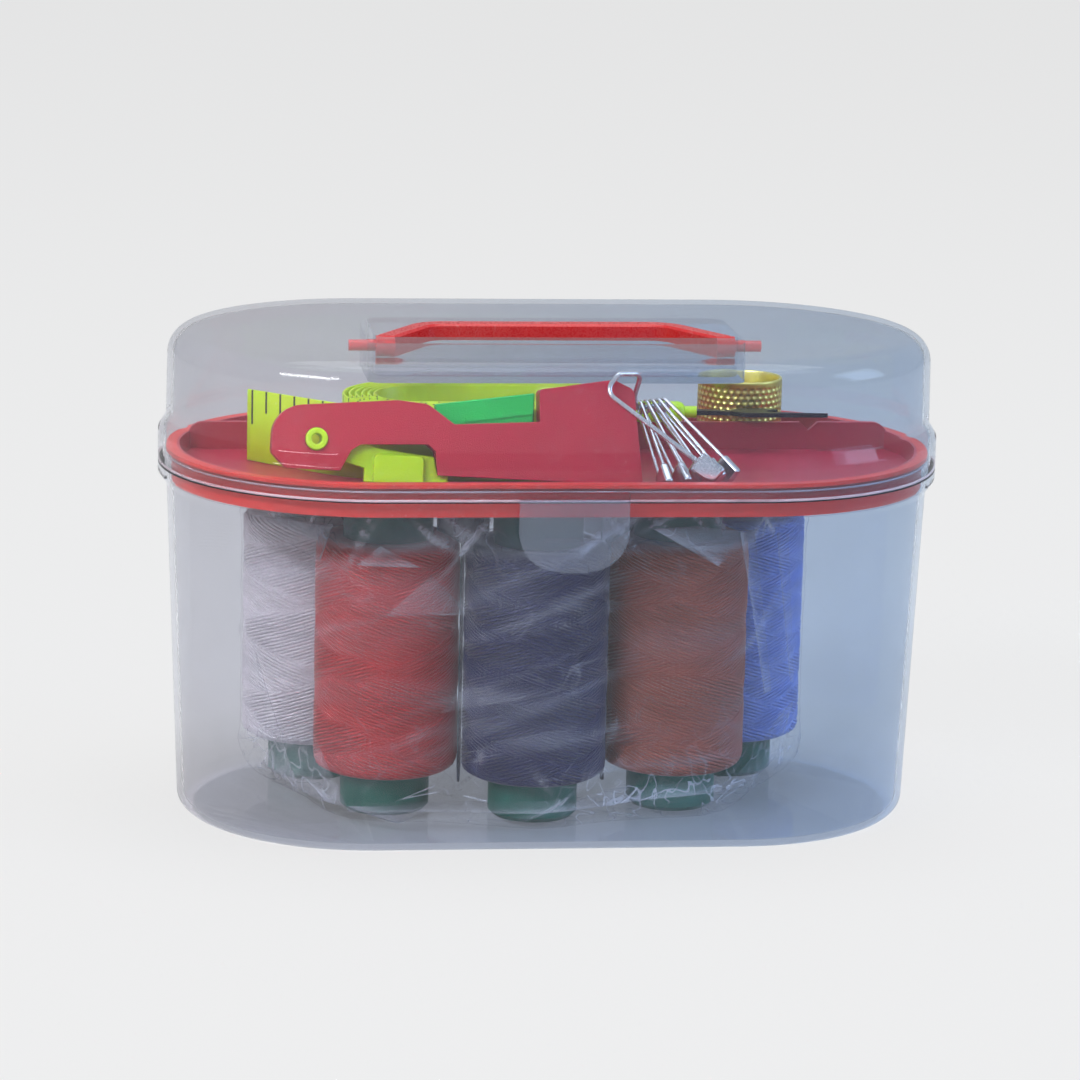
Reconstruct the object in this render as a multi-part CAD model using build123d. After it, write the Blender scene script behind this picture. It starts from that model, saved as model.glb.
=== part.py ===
from build123d import *
import math
import os

# Mini sewing kit box: a clear box with a hinged lid, a lift-out tray and the sewing things in it.
# Millimetres. The origin is the middle of the face that the box stands on, X runs along the box,
# -Y is the latch side and +Z is up. Every piece is modelled where it lies in the closed box.

# Box and lid: one long round outline, a straight middle with a half turn at each end
straight_half = 32.6
rim_radius = 37.4
foot_inset = 3.8
side_inset = 1.6
lid_base_inset = 1.4
lid_top_inset = 1.7
wall = 1.2
seam_height = 63.4
lid_height = 24.2
side_drop = 3.8
rim_drop = 1.5
neck_rise = 2.3
neck_wall = 0.85
neck_clearance = 0.15
ledge_drop = 3.1
rim_rise = 6.0
lid_side_rise = 8.2
foot_round = 3.0
lid_round = 4.7
rim_blend = 1.1

# Well in the lid that the handle folds into
well_length = 64.8
well_width = 20.8
well_depth = 7.0
well_round = 2.5
well_floor = 1.0

# Carrying handle
grip_length = 43.6
grip_back = 14.0
pivot_spread = 60.8
bail_width = 3.4
bail_height = 4.0
bail_round = 6.0
bail_edge = 0.8
handle_sink = 0.4
pivot_setback = 6.5
pivot_radius = 1.0
pivot_clearance = 0.05
pivot_reach = 3.6
boss_gap = 0.4

# Lid hinge at the back
barrel_radius = 1.9
hinge_pin_radius = 0.9
hinge_pin_clearance = 0.05
hinge_overhang = 0.7
lug_half = 7.9
ear_width = 4.0
ear_gap = 0.3
hinge_swing_gap = 0.3

# Latch at the front
latch_width = 19.0
latch_length = 11.8
latch_thickness = 1.2
latch_gap = 0.25
latch_corner = 7.0
latch_lip = 1.0
strap_height = 1.2
strap_gap = 0.1
catch_width = 10.0
catch_drop = 6.5
catch_height = 3.6
hook_inset = 0.2
hook_height = 1.7
hook_gap = 0.15
hook_drop = 0.3

# Lift-out tray
tray_clearance = 0.25
tray_wall = 1.0
tray_rise = 4.6
tray_rim_step = 0.35
flange_width = 0.75
flange_thickness = 0.7
tray_floor_drop = 0.4
tray_floor = 1.2
tray_foot_gap = 0.2
divider_back = 13.0
divider_thickness = 1.2
divider_bite = 0.6
divider_round = 3.0
notch_place = 49.6
notch_width = 3.4
notch_depth = 1.5

# Thread spools, a row of five bowed into the box, in one bag of thin film
thread_radius = 13.0
spool_headroom = 1.6
thread_round = 1.2
thread_fit = 0.05
core_radius = 8.0
core_bore = 6.2
core_end = 7.6
core_chamfer = 0.8
spool_gap = 0.8
first_spool = (-40.8, 17.2)
spool_turns = (-64.5, -12.0, 14.0, 58.0)
spool_colours = ("white", "red", "navy", "brown", "blue")
film = 0.3
film_slack = 0.1
film_end_radius = 10.5

# Tape measure, a flattened coil standing on its edge with its end sprung out
tape_width = 13.0
tape_thickness = 0.5
tape_pitch = 1.1
tape_turns = 6
tape_inner_radius = 7.6
tape_straight_half = 10.4
tape_place = (-13.4, -2.3)
tail_bend_radius = 25.0
tail_bend_angle = 42.0
tail_length = 18.0

# Thimble
thimble_radius = 8.3
thimble_top_radius = 7.8
thimble_wall = 0.6
thimble_height = 12.0
thimble_along = 38.2
thimble_gap = 0.3
thimble_rim = 0.45
thimble_rim_height = 1.2

# Needle threader, standing on its long edge and leaning back
threader_corner = (13.5, -26.0)
threader_lean = 12.0
threader_tilt = 2.9
threader_thickness = 5.5
threader_slot = 2.6
threader_tail_end = 59.4
threader_tail_radius = 5.6
threader_head_height = 18.2
threader_head_length = 19.0
threader_step_height = 10.2
threader_shoulder = 38.3
threader_shoulder_height = 12.3
threader_front_slant = 2.4
threader_front_drop = 1.6
threader_crown = 6.0
threader_head_fall = 2.4
threader_step_slant = 0.4
threader_middle_dip = 1.2
threader_shoulder_ramp = 4.8
threader_back = 43.5
threader_back_rise = 0.4
threader_tail_drop = 0.6
threader_tail_foot = 2.6
threader_tail_heel = 3.0
threader_front_round = 1.5
threader_crown_round = 3.0
threader_step_round = 0.8
threader_shoulder_round = 3.0
threader_tail_round = 5.4
threader_tail_foot_round = 1.2
threader_heel_round = 2.0
cut_left = 52.9
cut_left_knee = (51.2, 3.6)
cut_left_top = (49.6, 4.7)
cut_right_top = (38.0, 5.3)
cut_right_knee = (36.6, 4.2)
cut_right = 36.0
lever_room_left = 2.0
lever_room_heel = (53.2, 0.8)
lever_room_below = 1.0
lever_room_right = (32.4, 6.8)
lever_room_top = (45.0, 9.6)
lever_room_left_top = 8.9
lever_eye_room = 0.3
guide_room_left = 37.2
guide_room_right = 0.4
guide_room_floor = 7.4
lever_pivot = (57.3, 5.3)
lever_boss_radius = 1.95
lever_boss_bore = 0.9
lever_boss_stand = 0.7
lever_clearance = 0.05
lever_thickness = 2.2
lever_eye_radius = 3.3
lever_bar_half = 2.6
lever_bar_left = 46.0
lever_bar_rise = 1.0
pad_thickness = 4.4
pad_left = 47.2
pad_right = 38.4
pad_top = 3.2
pad_round = 1.0
foot_shoulder = 0.6
foot_left = 48.7
foot_right = 34.0
foot_drop = 1.8
foot_top = 0.4
guide_thickness = 2.4
guide_top_left = 12.4
guide_top_right = 15.2
guide_left_gap = 1.4
guide_right_gap = 0.6
guide_floor = 7.6

# Seam ripper, lying along the divider
ripper_radius = 1.95
ripper_handle_length = 43.0
ripper_handle_end = 26.6
ripper_turn = -4.0
ripper_gap = 0.05
ripper_tape_gap = 0.35
collar_radius = 1.1
collar_length = 2.0
collar_sink = 1.0
blade_length = 24.0
blade_thickness = 0.8
shank_width = 1.8
fork_width = 5.0
fork_start = 9.0
fork_slot = 1.6
fork_barb = 15.0
fork_taper = 3.0
fork_throat = 4.0
fork_point_inset = 0.9
fork_bottom_round = 0.7

# Safety pins: small ones strung on a bigger open one that leans on the threader
small_pin_count = 5
small_pin_reach = 14.5
small_wire_radius = 0.32
small_ring_radius = 1.0
small_spread = 1.5
small_cap_length = 4.2
small_cap_width = 4.2
small_cap_thickness = 1.5
small_pin_spacing = 1.35
first_small_ring = (13.8, -17.6, 13.4)
small_pin_dip = 38.0
wire_end_gap = 0.05
small_pin_first_turn = -78.0
small_pin_last_turn = -40.0
big_wire_radius = 0.45
big_pin_end = (22.0, -30.5, 6.6)
big_pin_over_head = (6.6, -24.9, 17.6)
big_pin_loop_left = (9.0, -23.4)
big_pin_loop_right = (13.4, -20.4)
big_pin_loop_foot = (12.6, -19.2, 16.0)
big_pin_left_room = 2.9
big_pin_right_room = 3.4
big_pin_bends = (2.0, 1.6, 1.6, 3.0, 0.9)
big_cap_length = 5.0
big_cap_width = 3.6
big_cap_thickness = 1.9
cap_round = 0.5

# Heights that follow from the seam between box and lid
box_height = seam_height + lid_height
lid_underside = box_height - wall
side_top = seam_height - side_drop
rim_start = seam_height - rim_drop
neck_height = seam_height + neck_rise
ledge_height = seam_height - ledge_drop
rim_end = seam_height + rim_rise
lid_side_start = seam_height + lid_side_rise
catch_bottom = seam_height - catch_drop
tray_top = seam_height + tray_rise
tray_floor_top = seam_height - tray_floor_drop
tray_foot = ledge_height + tray_foot_gap

# Other sizes that follow from the ones above
foot_radius = rim_radius - foot_inset
side_top_radius = rim_radius - side_inset
lid_base_radius = rim_radius - lid_base_inset
lid_top_radius = rim_radius - lid_top_inset
neck_outer = rim_radius - wall - neck_clearance
neck_inner = neck_outer - neck_wall
side_slope = (side_top_radius - foot_radius) / side_top
tray_outer = neck_inner - tray_clearance
tray_inner = tray_outer - tray_rim_step - tray_wall
pivot_height = box_height - handle_sink - bail_height / 2
hinge_axis = (rim_radius + hinge_overhang, seam_height)
latch_axis = (-rim_radius - latch_gap - latch_thickness / 2, seam_height + strap_gap)
catch_front = rim_radius - hook_inset - hook_gap
spool_floor = wall + film
thread_bottom = spool_floor + core_end
core_length = tray_foot - spool_headroom - spool_floor
thread_length = core_length - 2 * core_end
divider_front_face = divider_back - divider_thickness / 2
divider_rear_face = divider_back + divider_thickness / 2
lean = math.radians(threader_lean)
tilt = math.radians(threader_tilt)


def side_radius(height):
    """Outer radius of the box's tapered side at a height below the rim."""
    return foot_radius + side_slope * height


def round_corner(sketch, corner, radius):
    """Rounds the corner of a flat outline that lies nearest to the given point."""
    vertex = sketch.vertices().sort_by_distance(Vector(*corner))[0]
    return fillet(vertex, radius)


def closed_outline(points, rounds=()):
    """A flat face through the points, with some of its corners rounded."""
    sketch = make_face(Polyline(*points, close=True))
    for corner, radius in rounds:
        sketch = round_corner(sketch, corner, radius)
    return sketch


def long_round(profile):
    """Carries a half section, drawn as distance out and height, round the box's long outline."""
    section = Plane(origin=(straight_half, 0, 0), x_dir=(0, -1, 0), z_dir=(-1, 0, 0)) * profile
    end = revolve(section, Axis((straight_half, 0, 0), (0, 0, 1)), 180)
    front = extrude(section, 2 * straight_half)
    return end + mirror(end, Plane.YZ) + front + mirror(front, Plane.XZ)


def rod_x(radius, start, end, y, z):
    """A round rod along X between two places."""
    return Pos((start + end) / 2, y, z) * Rot(0, 90, 0) * Cylinder(radius, end - start)


def block(low, high):
    """A box between two opposite corners."""
    size = [b - a for a, b in zip(low, high)]
    middle = [(a + b) / 2 for a, b in zip(low, high)]
    return Pos(*middle) * Box(*size)


def wire(points, bends, radius):
    """A round wire through the points with its corners bent."""
    path = FilletPolyline(*points, radius=bends)
    section = Plane(origin=path @ 0, z_dir=path % 0) * Circle(radius)
    return sweep(section, path=path)


def make_box_body():
    """The box: floor, tapered side, rim with its neck, the two hinge ears and the latch catch."""
    inner_top = side_radius(ledge_height) - wall
    points = [
        (0, 0),
        (foot_radius, 0),
        (side_top_radius, side_top),
        (rim_radius, rim_start),
        (rim_radius, seam_height),
        (neck_outer, seam_height),
        (neck_outer, neck_height),
        (neck_inner, neck_height),
        (neck_inner, ledge_height),
        (inner_top, ledge_height),
        (foot_radius - wall, wall),
        (0, wall),
    ]
    rounds = [
        ((foot_radius, 0), foot_round),
        ((side_top_radius, side_top), rim_blend),
        ((rim_radius, rim_start), rim_blend / 2),
        ((foot_radius - wall, wall), foot_round - wall),
    ]
    body = long_round(closed_outline(points, rounds))
    y, z = hinge_axis
    ear_start = lug_half + ear_gap
    body -= rod_x(barrel_radius + hinge_swing_gap, -ear_start, ear_start, y, z)
    for side in (-1, 1):
        ends = sorted((side * ear_start, side * (ear_start + ear_width)))
        ear = rod_x(barrel_radius, *ends, y, z)
        ear += block((ends[0], neck_outer, z - barrel_radius), (ends[1], y, z))
        body += ear
        body -= rod_x(hinge_pin_radius + hinge_pin_clearance, ends[0], ends[1], y, z)
    wall_middle = side_radius(catch_bottom) - wall / 2
    body += block(
        (-catch_width / 2, -catch_front, catch_bottom),
        (catch_width / 2, -wall_middle, catch_bottom + catch_height),
    )
    return body


def make_lid():
    """The lid: a clear cover with a bulged rim, the handle's well, hinge lug and latch strap."""
    top = box_height
    points = [
        (0, top),
        (0, top - wall),
        (lid_top_radius - wall, top - wall),
        (lid_base_radius - wall, lid_side_start + wall / 3),
        (rim_radius - wall, rim_end),
        (rim_radius - wall, seam_height),
        (rim_radius, seam_height),
        (rim_radius, rim_end),
        (lid_base_radius, lid_side_start),
        (lid_top_radius, top),
    ]
    rounds = [
        ((lid_top_radius, top), lid_round),
        ((lid_top_radius - wall, top - wall), lid_round - wall),
        ((rim_radius, rim_end), rim_blend),
        ((lid_base_radius, lid_side_start), rim_blend),
    ]
    lid = long_round(closed_outline(points, rounds))
    lid += well_block(well_length + 2 * wall, well_width + 2 * wall, well_depth + well_floor, 0)
    lid -= well_block(well_length, well_width, well_depth, 1)
    reach = pivot_spread / 2 + boss_gap + pivot_reach + 2 * wall
    lid -= rod_x(pivot_radius + pivot_clearance, -reach, reach, -pivot_setback, pivot_height)
    y, z = hinge_axis
    ear_start = lug_half + ear_gap
    swing = barrel_radius + hinge_swing_gap
    for side in (-1, 1):
        ends = sorted((side * lug_half, side * (ear_start + ear_width + ear_gap)))
        lid -= rod_x(swing, *ends, y, z)
    lug = rod_x(barrel_radius, -lug_half, lug_half, y, z)
    lug += block((-lug_half, rim_radius - wall, z), (lug_half, y, z + barrel_radius))
    lid += lug
    pin_end = ear_start + ear_width
    lid += rod_x(hinge_pin_radius, -pin_end, pin_end, y, z)
    strap_bottom = latch_axis[1] + latch_thickness / 2 + strap_gap
    lid += block(
        (-latch_width / 2, latch_axis[0] - latch_thickness / 2, strap_bottom),
        (latch_width / 2, -rim_radius + wall / 2, strap_bottom + strap_height),
    )
    return lid


def well_block(length, width, depth, rise):
    """The well's room, or with its walls the well itself, let into the lid's top."""
    outline = RectangleRounded(length, width, well_round)
    return Pos(0, 0, box_height - depth) * extrude(outline, depth + rise)


def make_latch():
    """The latch flap: a plate with big round corners, a hook inside and a finger lip."""
    y, z = latch_axis
    front = y - latch_thickness / 2
    back = y + latch_thickness / 2
    half = latch_width / 2
    low = z - latch_length
    points = [(-half, z), (half, z), (half, low), (-half, low)]
    rounds = [((half, low), latch_corner), ((-half, low), latch_corner)]
    face = Plane(origin=(0, back, 0), x_dir=(1, 0, 0), z_dir=(0, -1, 0)) * closed_outline(points, rounds)
    flap = extrude(face, latch_thickness)
    flap += rod_x(latch_thickness / 2, -half, half, y, z)
    hook_top = catch_bottom - hook_drop
    flap += block(
        (-catch_width / 2, y, hook_top - hook_height),
        (catch_width / 2, -catch_front - hook_gap, hook_top),
    )
    lip_half = half - latch_corner
    flap += block((-lip_half, front - latch_lip, low), (lip_half, y, low + latch_lip))
    return flap


def make_handle():
    """The carrying handle: a bail whose stub pins turn in the well's end walls."""
    low = pivot_height - bail_height / 2
    points = [
        (-pivot_spread / 2, -pivot_setback),
        (-grip_length / 2, -pivot_setback + grip_back),
        (grip_length / 2, -pivot_setback + grip_back),
        (pivot_spread / 2, -pivot_setback),
    ]
    path = FilletPolyline(*points, radius=bail_round)
    bail = Pos(0, 0, low) * extrude(trace(path, line_width=bail_width), bail_height)
    bail = chamfer(bail.faces().sort_by(Axis.Z)[-1].edges(), bail_edge / 2)
    boss_end = well_length / 2 - boss_gap
    boss_start = pivot_spread / 2 - bail_width / 2
    pin_end = well_length / 2 + wall + pivot_reach - boss_gap
    for side in (-1, 1):
        ends = sorted((side * boss_start, side * boss_end))
        bail += rod_x(bail_height / 2, *ends, -pivot_setback, pivot_height)
        ends = sorted((side * boss_end, side * pin_end))
        bail += rod_x(pivot_radius, *ends, -pivot_setback, pivot_height)
    return bail


def make_tray():
    """The tray: a flange that hangs on the box's neck, a skirt, a floor and one divider."""
    floor_bottom = tray_floor_top - tray_floor
    skirt_inner = tray_outer - tray_wall
    flange_top = neck_height + flange_thickness
    points = [
        (0, floor_bottom),
        (skirt_inner, floor_bottom),
        (skirt_inner, tray_foot),
        (tray_outer, tray_foot),
        (tray_outer, neck_height),
        (neck_inner + flange_width, neck_height),
        (neck_inner + flange_width, flange_top),
        (tray_inner, flange_top),
        (tray_inner, tray_floor_top),
        (0, tray_floor_top),
    ]
    tray = long_round(closed_outline(points))
    front_reach = math.sqrt(tray_inner**2 - divider_front_face**2)
    half = straight_half + front_reach + divider_bite
    low = tray_floor_top - tray_floor / 2
    divider = closed_outline(
        [(-half, low), (half, low), (half, tray_top), (-half, tray_top)],
        [((half, tray_top), divider_round), ((-half, tray_top), divider_round)],
    )
    divider -= closed_outline([
        (notch_place - notch_width / 2, tray_top),
        (notch_place, tray_top - notch_depth),
        (notch_place + notch_width / 2, tray_top),
        (notch_place, tray_top + notch_depth),
    ])
    upright = Plane(origin=(0, divider_rear_face, 0), x_dir=(1, 0, 0), z_dir=(0, -1, 0))
    return tray + extrude(upright * divider, divider_thickness)


def spool_places():
    """Middles of the spools: each one stands against the last, turned a little further."""
    step = 2 * thread_radius + spool_gap
    places = [first_spool]
    for turn in spool_turns:
        x, y = places[-1]
        angle = math.radians(turn)
        places.append((x + step * math.cos(angle), y + step * math.sin(angle)))
    return places


def make_thread(x, y):
    """The thread wound on one spool, as one round body with soft shoulders."""
    middle = thread_bottom + thread_length / 2
    body = Cylinder(thread_radius, thread_length)
    body = fillet(body.edges().filter_by(GeomType.CIRCLE), thread_round)
    body -= Cylinder(core_radius + thread_fit, thread_length)
    return Pos(x, y, middle) * body


def make_core(x, y):
    """One spool's plastic tube, which stands out of the thread at both ends."""
    body = Cylinder(core_radius, core_length) - Cylinder(core_bore, core_length)
    rims = body.edges().filter_by(GeomType.CIRCLE).filter_by(lambda e: e.radius > core_bore + 0.1)
    body = chamfer(rims, core_chamfer)
    return Pos(x, y, spool_floor + core_length / 2) * body


def row_of_slots(radius, low, high):
    """A closed body round the whole row of spools: one slot from each spool to the next."""
    places = spool_places()
    outline = None
    for start, end in zip(places, places[1:]):
        slot = SlotCenterPoint(
            ((start[0] + end[0]) / 2, (start[1] + end[1]) / 2),
            end,
            2 * radius,
        )
        outline = slot if outline is None else outline + slot
    return Pos(0, 0, low) * extrude(outline, high - low)


def make_bag():
    """The thin film bag round the row of spools, drawn in at the spools' bare ends."""
    top = spool_floor + core_length
    wide = thread_radius + film_slack
    outer = row_of_slots(wide + film, thread_bottom - film, thread_bottom + thread_length + film)
    outer += row_of_slots(film_end_radius + film, wall, top + film)
    inner = row_of_slots(wide, thread_bottom, thread_bottom + thread_length)
    inner += row_of_slots(film_end_radius, spool_floor, top)
    return outer - inner


def tape_side(offset):
    """One side of the tape's strip, from its inner end to the tip of the tail."""
    half = tape_straight_half
    sides = []
    for turn in range(tape_turns + 1):
        front = tape_inner_radius + turn * tape_pitch + offset
        back = front + tape_pitch / 2
        following = front + tape_pitch
        sides.append(Line((half, -front), (-half, -front)))
        if turn == tape_turns:
            break
        middle = (back - front) / 2
        sides.append(CenterArc((-half, middle), (front + back) / 2, 270, -180))
        sides.append(Line((-half, back), (half, back)))
        middle = (back - following) / 2
        sides.append(CenterArc((half, middle), (back + following) / 2, 90, -180))
    outer = tape_inner_radius + tape_turns * tape_pitch
    centre = Vector(-half, tail_bend_radius - outer)
    sides.append(CenterArc(centre, tail_bend_radius + offset, 270, -tail_bend_angle))
    bend = math.radians(tail_bend_angle)
    start = centre + Vector(-math.sin(bend), -math.cos(bend)) * (tail_bend_radius + offset)
    sides.append(Line(start, start + Vector(-math.cos(bend), math.sin(bend)) * tail_length))
    return sides


def tape_least_gap():
    """Smallest gap between the tape's own turns, measured on points along its middle."""
    samples = []
    travelled = 0
    for side in tape_side(0):
        steps = max(4, int(side.length / 0.8))
        for step in range(steps):
            point = side @ (step / steps)
            samples.append((travelled + side.length * step / steps, point))
        travelled += side.length
    apart = 2 * math.pi * tape_inner_radius
    least = min(
        (a - b).length
        for along_a, a in samples
        for along_b, b in samples
        if along_b - along_a > apart / 2
    )
    return least - tape_thickness


def make_tape():
    """The tape measure: one unbroken strip wound into a long flat coil, with a loose tail."""
    outer = tape_side(tape_thickness / 2)
    inner = tape_side(-tape_thickness / 2)
    start = Line(outer[0] @ 0, inner[0] @ 0)
    tip = Line(outer[-1] @ 1, inner[-1] @ 1)
    strip = make_face(Curve() + outer + inner + [start, tip])
    return Pos(*tape_place, tray_floor_top) * extrude(strip, tape_width)


def make_thimble():
    """An open thimble: a tapered brass ring with a rolled rim at its foot."""
    outer = thimble_radius - thimble_rim
    points = [
        (outer - thimble_wall, 0),
        (thimble_radius, 0),
        (thimble_radius, thimble_rim_height),
        (outer, thimble_rim_height),
        (thimble_top_radius, thimble_height),
        (thimble_top_radius - thimble_wall, thimble_height),
    ]
    ring = revolve(Plane.XZ * closed_outline(points), Axis.Z, 360)
    y = divider_rear_face + thimble_gap + thimble_radius
    return Pos(thimble_along, y, tray_floor_top) * ring


def threader_plane(depth=0.0):
    """The threader's own plane: x runs back along its long edge, y up its side, at a depth."""
    lift = threader_thickness * math.sin(lean)
    up = Vector(0, math.sin(lean), math.cos(lean))
    along = Vector(1, 0, 0) * math.cos(tilt) - up * math.sin(tilt)
    front = Vector(0, -math.cos(lean), math.sin(lean))
    corner = Vector(*threader_corner, tray_floor_top + lift)
    return Plane(origin=corner - front * depth, x_dir=along, z_dir=front)


def threader_slab(sketch, thickness):
    """A flat piece of the threader, centred in the threader's thickness."""
    depth = (threader_thickness + thickness) / 2
    return extrude(threader_plane(depth) * sketch, thickness)


def make_threader_body():
    """The threader's case: tall head, low middle, round tail, a slot for its lever and guide."""
    head = threader_head_height
    tail = -threader_tail_end
    end = tail - threader_tail_radius
    front_top = (-threader_front_slant, head - threader_front_drop)
    head_rear = (-threader_head_length, head - threader_head_fall)
    shoulder = (-threader_shoulder, threader_shoulder_height)
    tail_top = (end, 2 * threader_tail_radius - threader_tail_drop)
    tail_foot = (end, threader_tail_foot)
    points = [
        (0, 0),
        front_top,
        (-threader_crown, head),
        head_rear,
        (-threader_head_length + threader_step_slant, threader_step_height),
        (-threader_shoulder + threader_shoulder_ramp, threader_step_height - threader_middle_dip),
        shoulder,
        (-threader_back, threader_shoulder_height + threader_back_rise),
        tail_top,
        tail_foot,
        (tail - threader_tail_heel, 0),
        (-cut_left, 0),
        (-cut_left_knee[0], cut_left_knee[1]),
        (-cut_left_top[0], cut_left_top[1]),
        (-cut_right_top[0], cut_right_top[1]),
        (-cut_right_knee[0], cut_right_knee[1]),
        (-cut_right, 0),
    ]
    rounds = [
        (front_top, threader_front_round),
        ((-threader_crown, head), threader_crown_round),
        (head_rear, threader_step_round),
        (shoulder, threader_shoulder_round),
        (tail_top, threader_tail_round),
        (tail_foot, threader_tail_foot_round),
        ((tail - threader_tail_heel, 0), threader_heel_round),
    ]
    case = threader_slab(closed_outline(points, rounds), threader_thickness)
    slot = closed_outline([
        (-lever_pivot[0], lever_room_left),
        (-lever_room_heel[0], lever_room_heel[1]),
        (-cut_left, -lever_room_below),
        (-lever_room_right[0], -lever_room_below),
        (-lever_room_right[0], lever_room_right[1]),
        (-lever_room_top[0], lever_room_top[1]),
        (-lever_pivot[0], lever_room_left_top),
    ])
    slot += Pos(-lever_pivot[0], lever_pivot[1]) * Circle(lever_eye_radius + lever_eye_room)
    guide_right = -threader_head_length - guide_room_right
    slot += closed_outline([
        (-guide_room_left, guide_room_floor),
        (guide_right, guide_room_floor),
        (guide_right, head),
        (-guide_room_left, head),
    ])
    case -= threader_slab(slot, threader_slot)
    hole = Pos(-lever_pivot[0], lever_pivot[1]) * Circle(lever_boss_radius + lever_clearance)
    case -= threader_slab(hole, threader_thickness)
    return case


def make_threader_lever():
    """The threader's press lever: hollow pivot, bar and pad, pressed up into the case."""
    x, y = -lever_pivot[0], lever_pivot[1]
    eye = Pos(x, y) * Circle(lever_eye_radius)
    bar = closed_outline([
        (x, y - lever_bar_half),
        (-foot_left, foot_shoulder),
        (-foot_left, -foot_drop),
        (-foot_right, -foot_drop),
        (-foot_right, foot_top),
        (-cut_right, foot_top),
        (-cut_right_knee[0], pad_top),
        (-lever_bar_left, pad_top + lever_bar_rise),
        (x, y + lever_bar_half),
    ])
    lever = threader_slab(eye + bar, lever_thickness)
    pad = closed_outline(
        [
            (-pad_left, -foot_drop),
            (-pad_right, -foot_drop),
            (-pad_right, pad_top),
            (-pad_left, pad_top),
        ],
        [((-pad_right, pad_top), pad_round), ((-pad_left, pad_top), pad_round)],
    )
    lever += threader_slab(pad, pad_thickness)
    boss = Pos(x, y) * Circle(lever_boss_radius)
    lever += threader_slab(boss, threader_thickness + 2 * lever_boss_stand)
    bore = Pos(x, y) * Circle(lever_boss_bore)
    lever -= threader_slab(bore, threader_thickness + 4 * lever_boss_stand)
    return lever


def make_threader_guide():
    """The green guide plate that stands in the slot of the threader's low middle."""
    left = -threader_shoulder + guide_left_gap
    right = -threader_head_length - guide_right_gap
    guide = closed_outline([
        (left, guide_floor),
        (right, guide_floor),
        (right, guide_top_right),
        (left, guide_top_left),
    ])
    return threader_slab(guide, guide_thickness)


def ripper_frame():
    """The seam ripper's own frame: behind the tape, on top of the divider and a little turned."""
    tape_back = tape_inner_radius + (tape_turns - 0.5) * tape_pitch + tape_thickness / 2
    y = tape_place[1] + tape_back + ripper_tape_gap + ripper_radius
    z = tray_top + ripper_radius + ripper_gap
    return Pos(0, y, z) * Rot(0, 0, ripper_turn)


def make_ripper_handle():
    """The seam ripper's handle: a round rod with rounded ends and a small collar."""
    rod = rod_x(ripper_radius, ripper_handle_end - ripper_handle_length, ripper_handle_end, 0, 0)
    rod = fillet(rod.edges().filter_by(GeomType.CIRCLE), ripper_radius * 0.8)
    rod += rod_x(collar_radius, ripper_handle_end - collar_sink, ripper_handle_end + collar_length, 0, 0)
    return ripper_frame() * rod


def make_ripper_blade():
    """The seam ripper's steel: a narrow shank that widens to a fork with one long point."""
    half = fork_width / 2
    slot_half = fork_slot / 2
    points = [
        (0, -shank_width / 2),
        (fork_start - fork_taper, -shank_width / 2),
        (fork_start, -half),
        (blade_length, -half + fork_point_inset),
        (fork_start + fork_throat, -slot_half),
        (fork_start + fork_throat, slot_half),
        (fork_barb, slot_half),
        (fork_barb, half),
        (fork_start, half),
        (fork_start - fork_taper, shank_width / 2),
        (0, shank_width / 2),
    ]
    rounds = [
        ((fork_barb, half), fork_bottom_round),
        ((fork_start + fork_throat, slot_half), fork_bottom_round),
    ]
    start = Pos(ripper_handle_end + collar_length, 0, -blade_thickness / 2)
    return ripper_frame() * start * extrude(closed_outline(points, rounds), blade_thickness)


def cap(length, width, thickness, frame, place):
    """The folded metal cap of a safety pin, in the pin's own plane."""
    body = Box(length, width, thickness)
    body = fillet(body.edges().filter_by(Axis.Z), cap_round)
    return frame * Pos(place + length / 2, 0, 0) * body


def small_pin_frames():
    """One frame for each small pin: origin at its ring, x towards its cap, z through the ring."""
    first = Vector(*first_small_ring) + Vector(0, 0, tray_floor_top)
    middle_turn = math.radians((small_pin_first_turn + small_pin_last_turn) / 2)
    along = Vector(-math.sin(middle_turn), math.cos(middle_turn), 0)
    dip = math.radians(small_pin_dip)
    frames = []
    for number in range(small_pin_count):
        share = number / (small_pin_count - 1)
        turn = math.radians(small_pin_first_turn + share * (small_pin_last_turn - small_pin_first_turn))
        out = Vector(
            math.cos(turn) * math.cos(dip),
            math.sin(turn) * math.cos(dip),
            -math.sin(dip),
        )
        through = Vector(-math.sin(turn), math.cos(turn), 0)
        ring = first + along * (number * small_pin_spacing)
        frames.append(Plane(origin=ring, x_dir=out, z_dir=through))
    return frames


def make_small_pin_wires():
    """The bent wires of the small safety pins, a ring and two legs each."""
    wires = []
    for frame in small_pin_frames():
        pin = Torus(small_ring_radius, small_wire_radius)
        for side in (-1, 1):
            start = Vector(0, side * small_ring_radius, 0)
            end = Vector(small_pin_reach - wire_end_gap, side * small_spread, 0)
            leg = Solid.make_cylinder(
                small_wire_radius,
                (end - start).length,
                Plane(origin=start, z_dir=end - start),
            )
            pin += leg
        wires.append(frame * pin)
    return Compound(children=wires)


def make_small_pin_caps():
    """The caps of the small safety pins."""
    return Compound(children=[
        cap(small_cap_length, small_cap_width, small_cap_thickness, frame, small_pin_reach)
        for frame in small_pin_frames()
    ])


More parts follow.
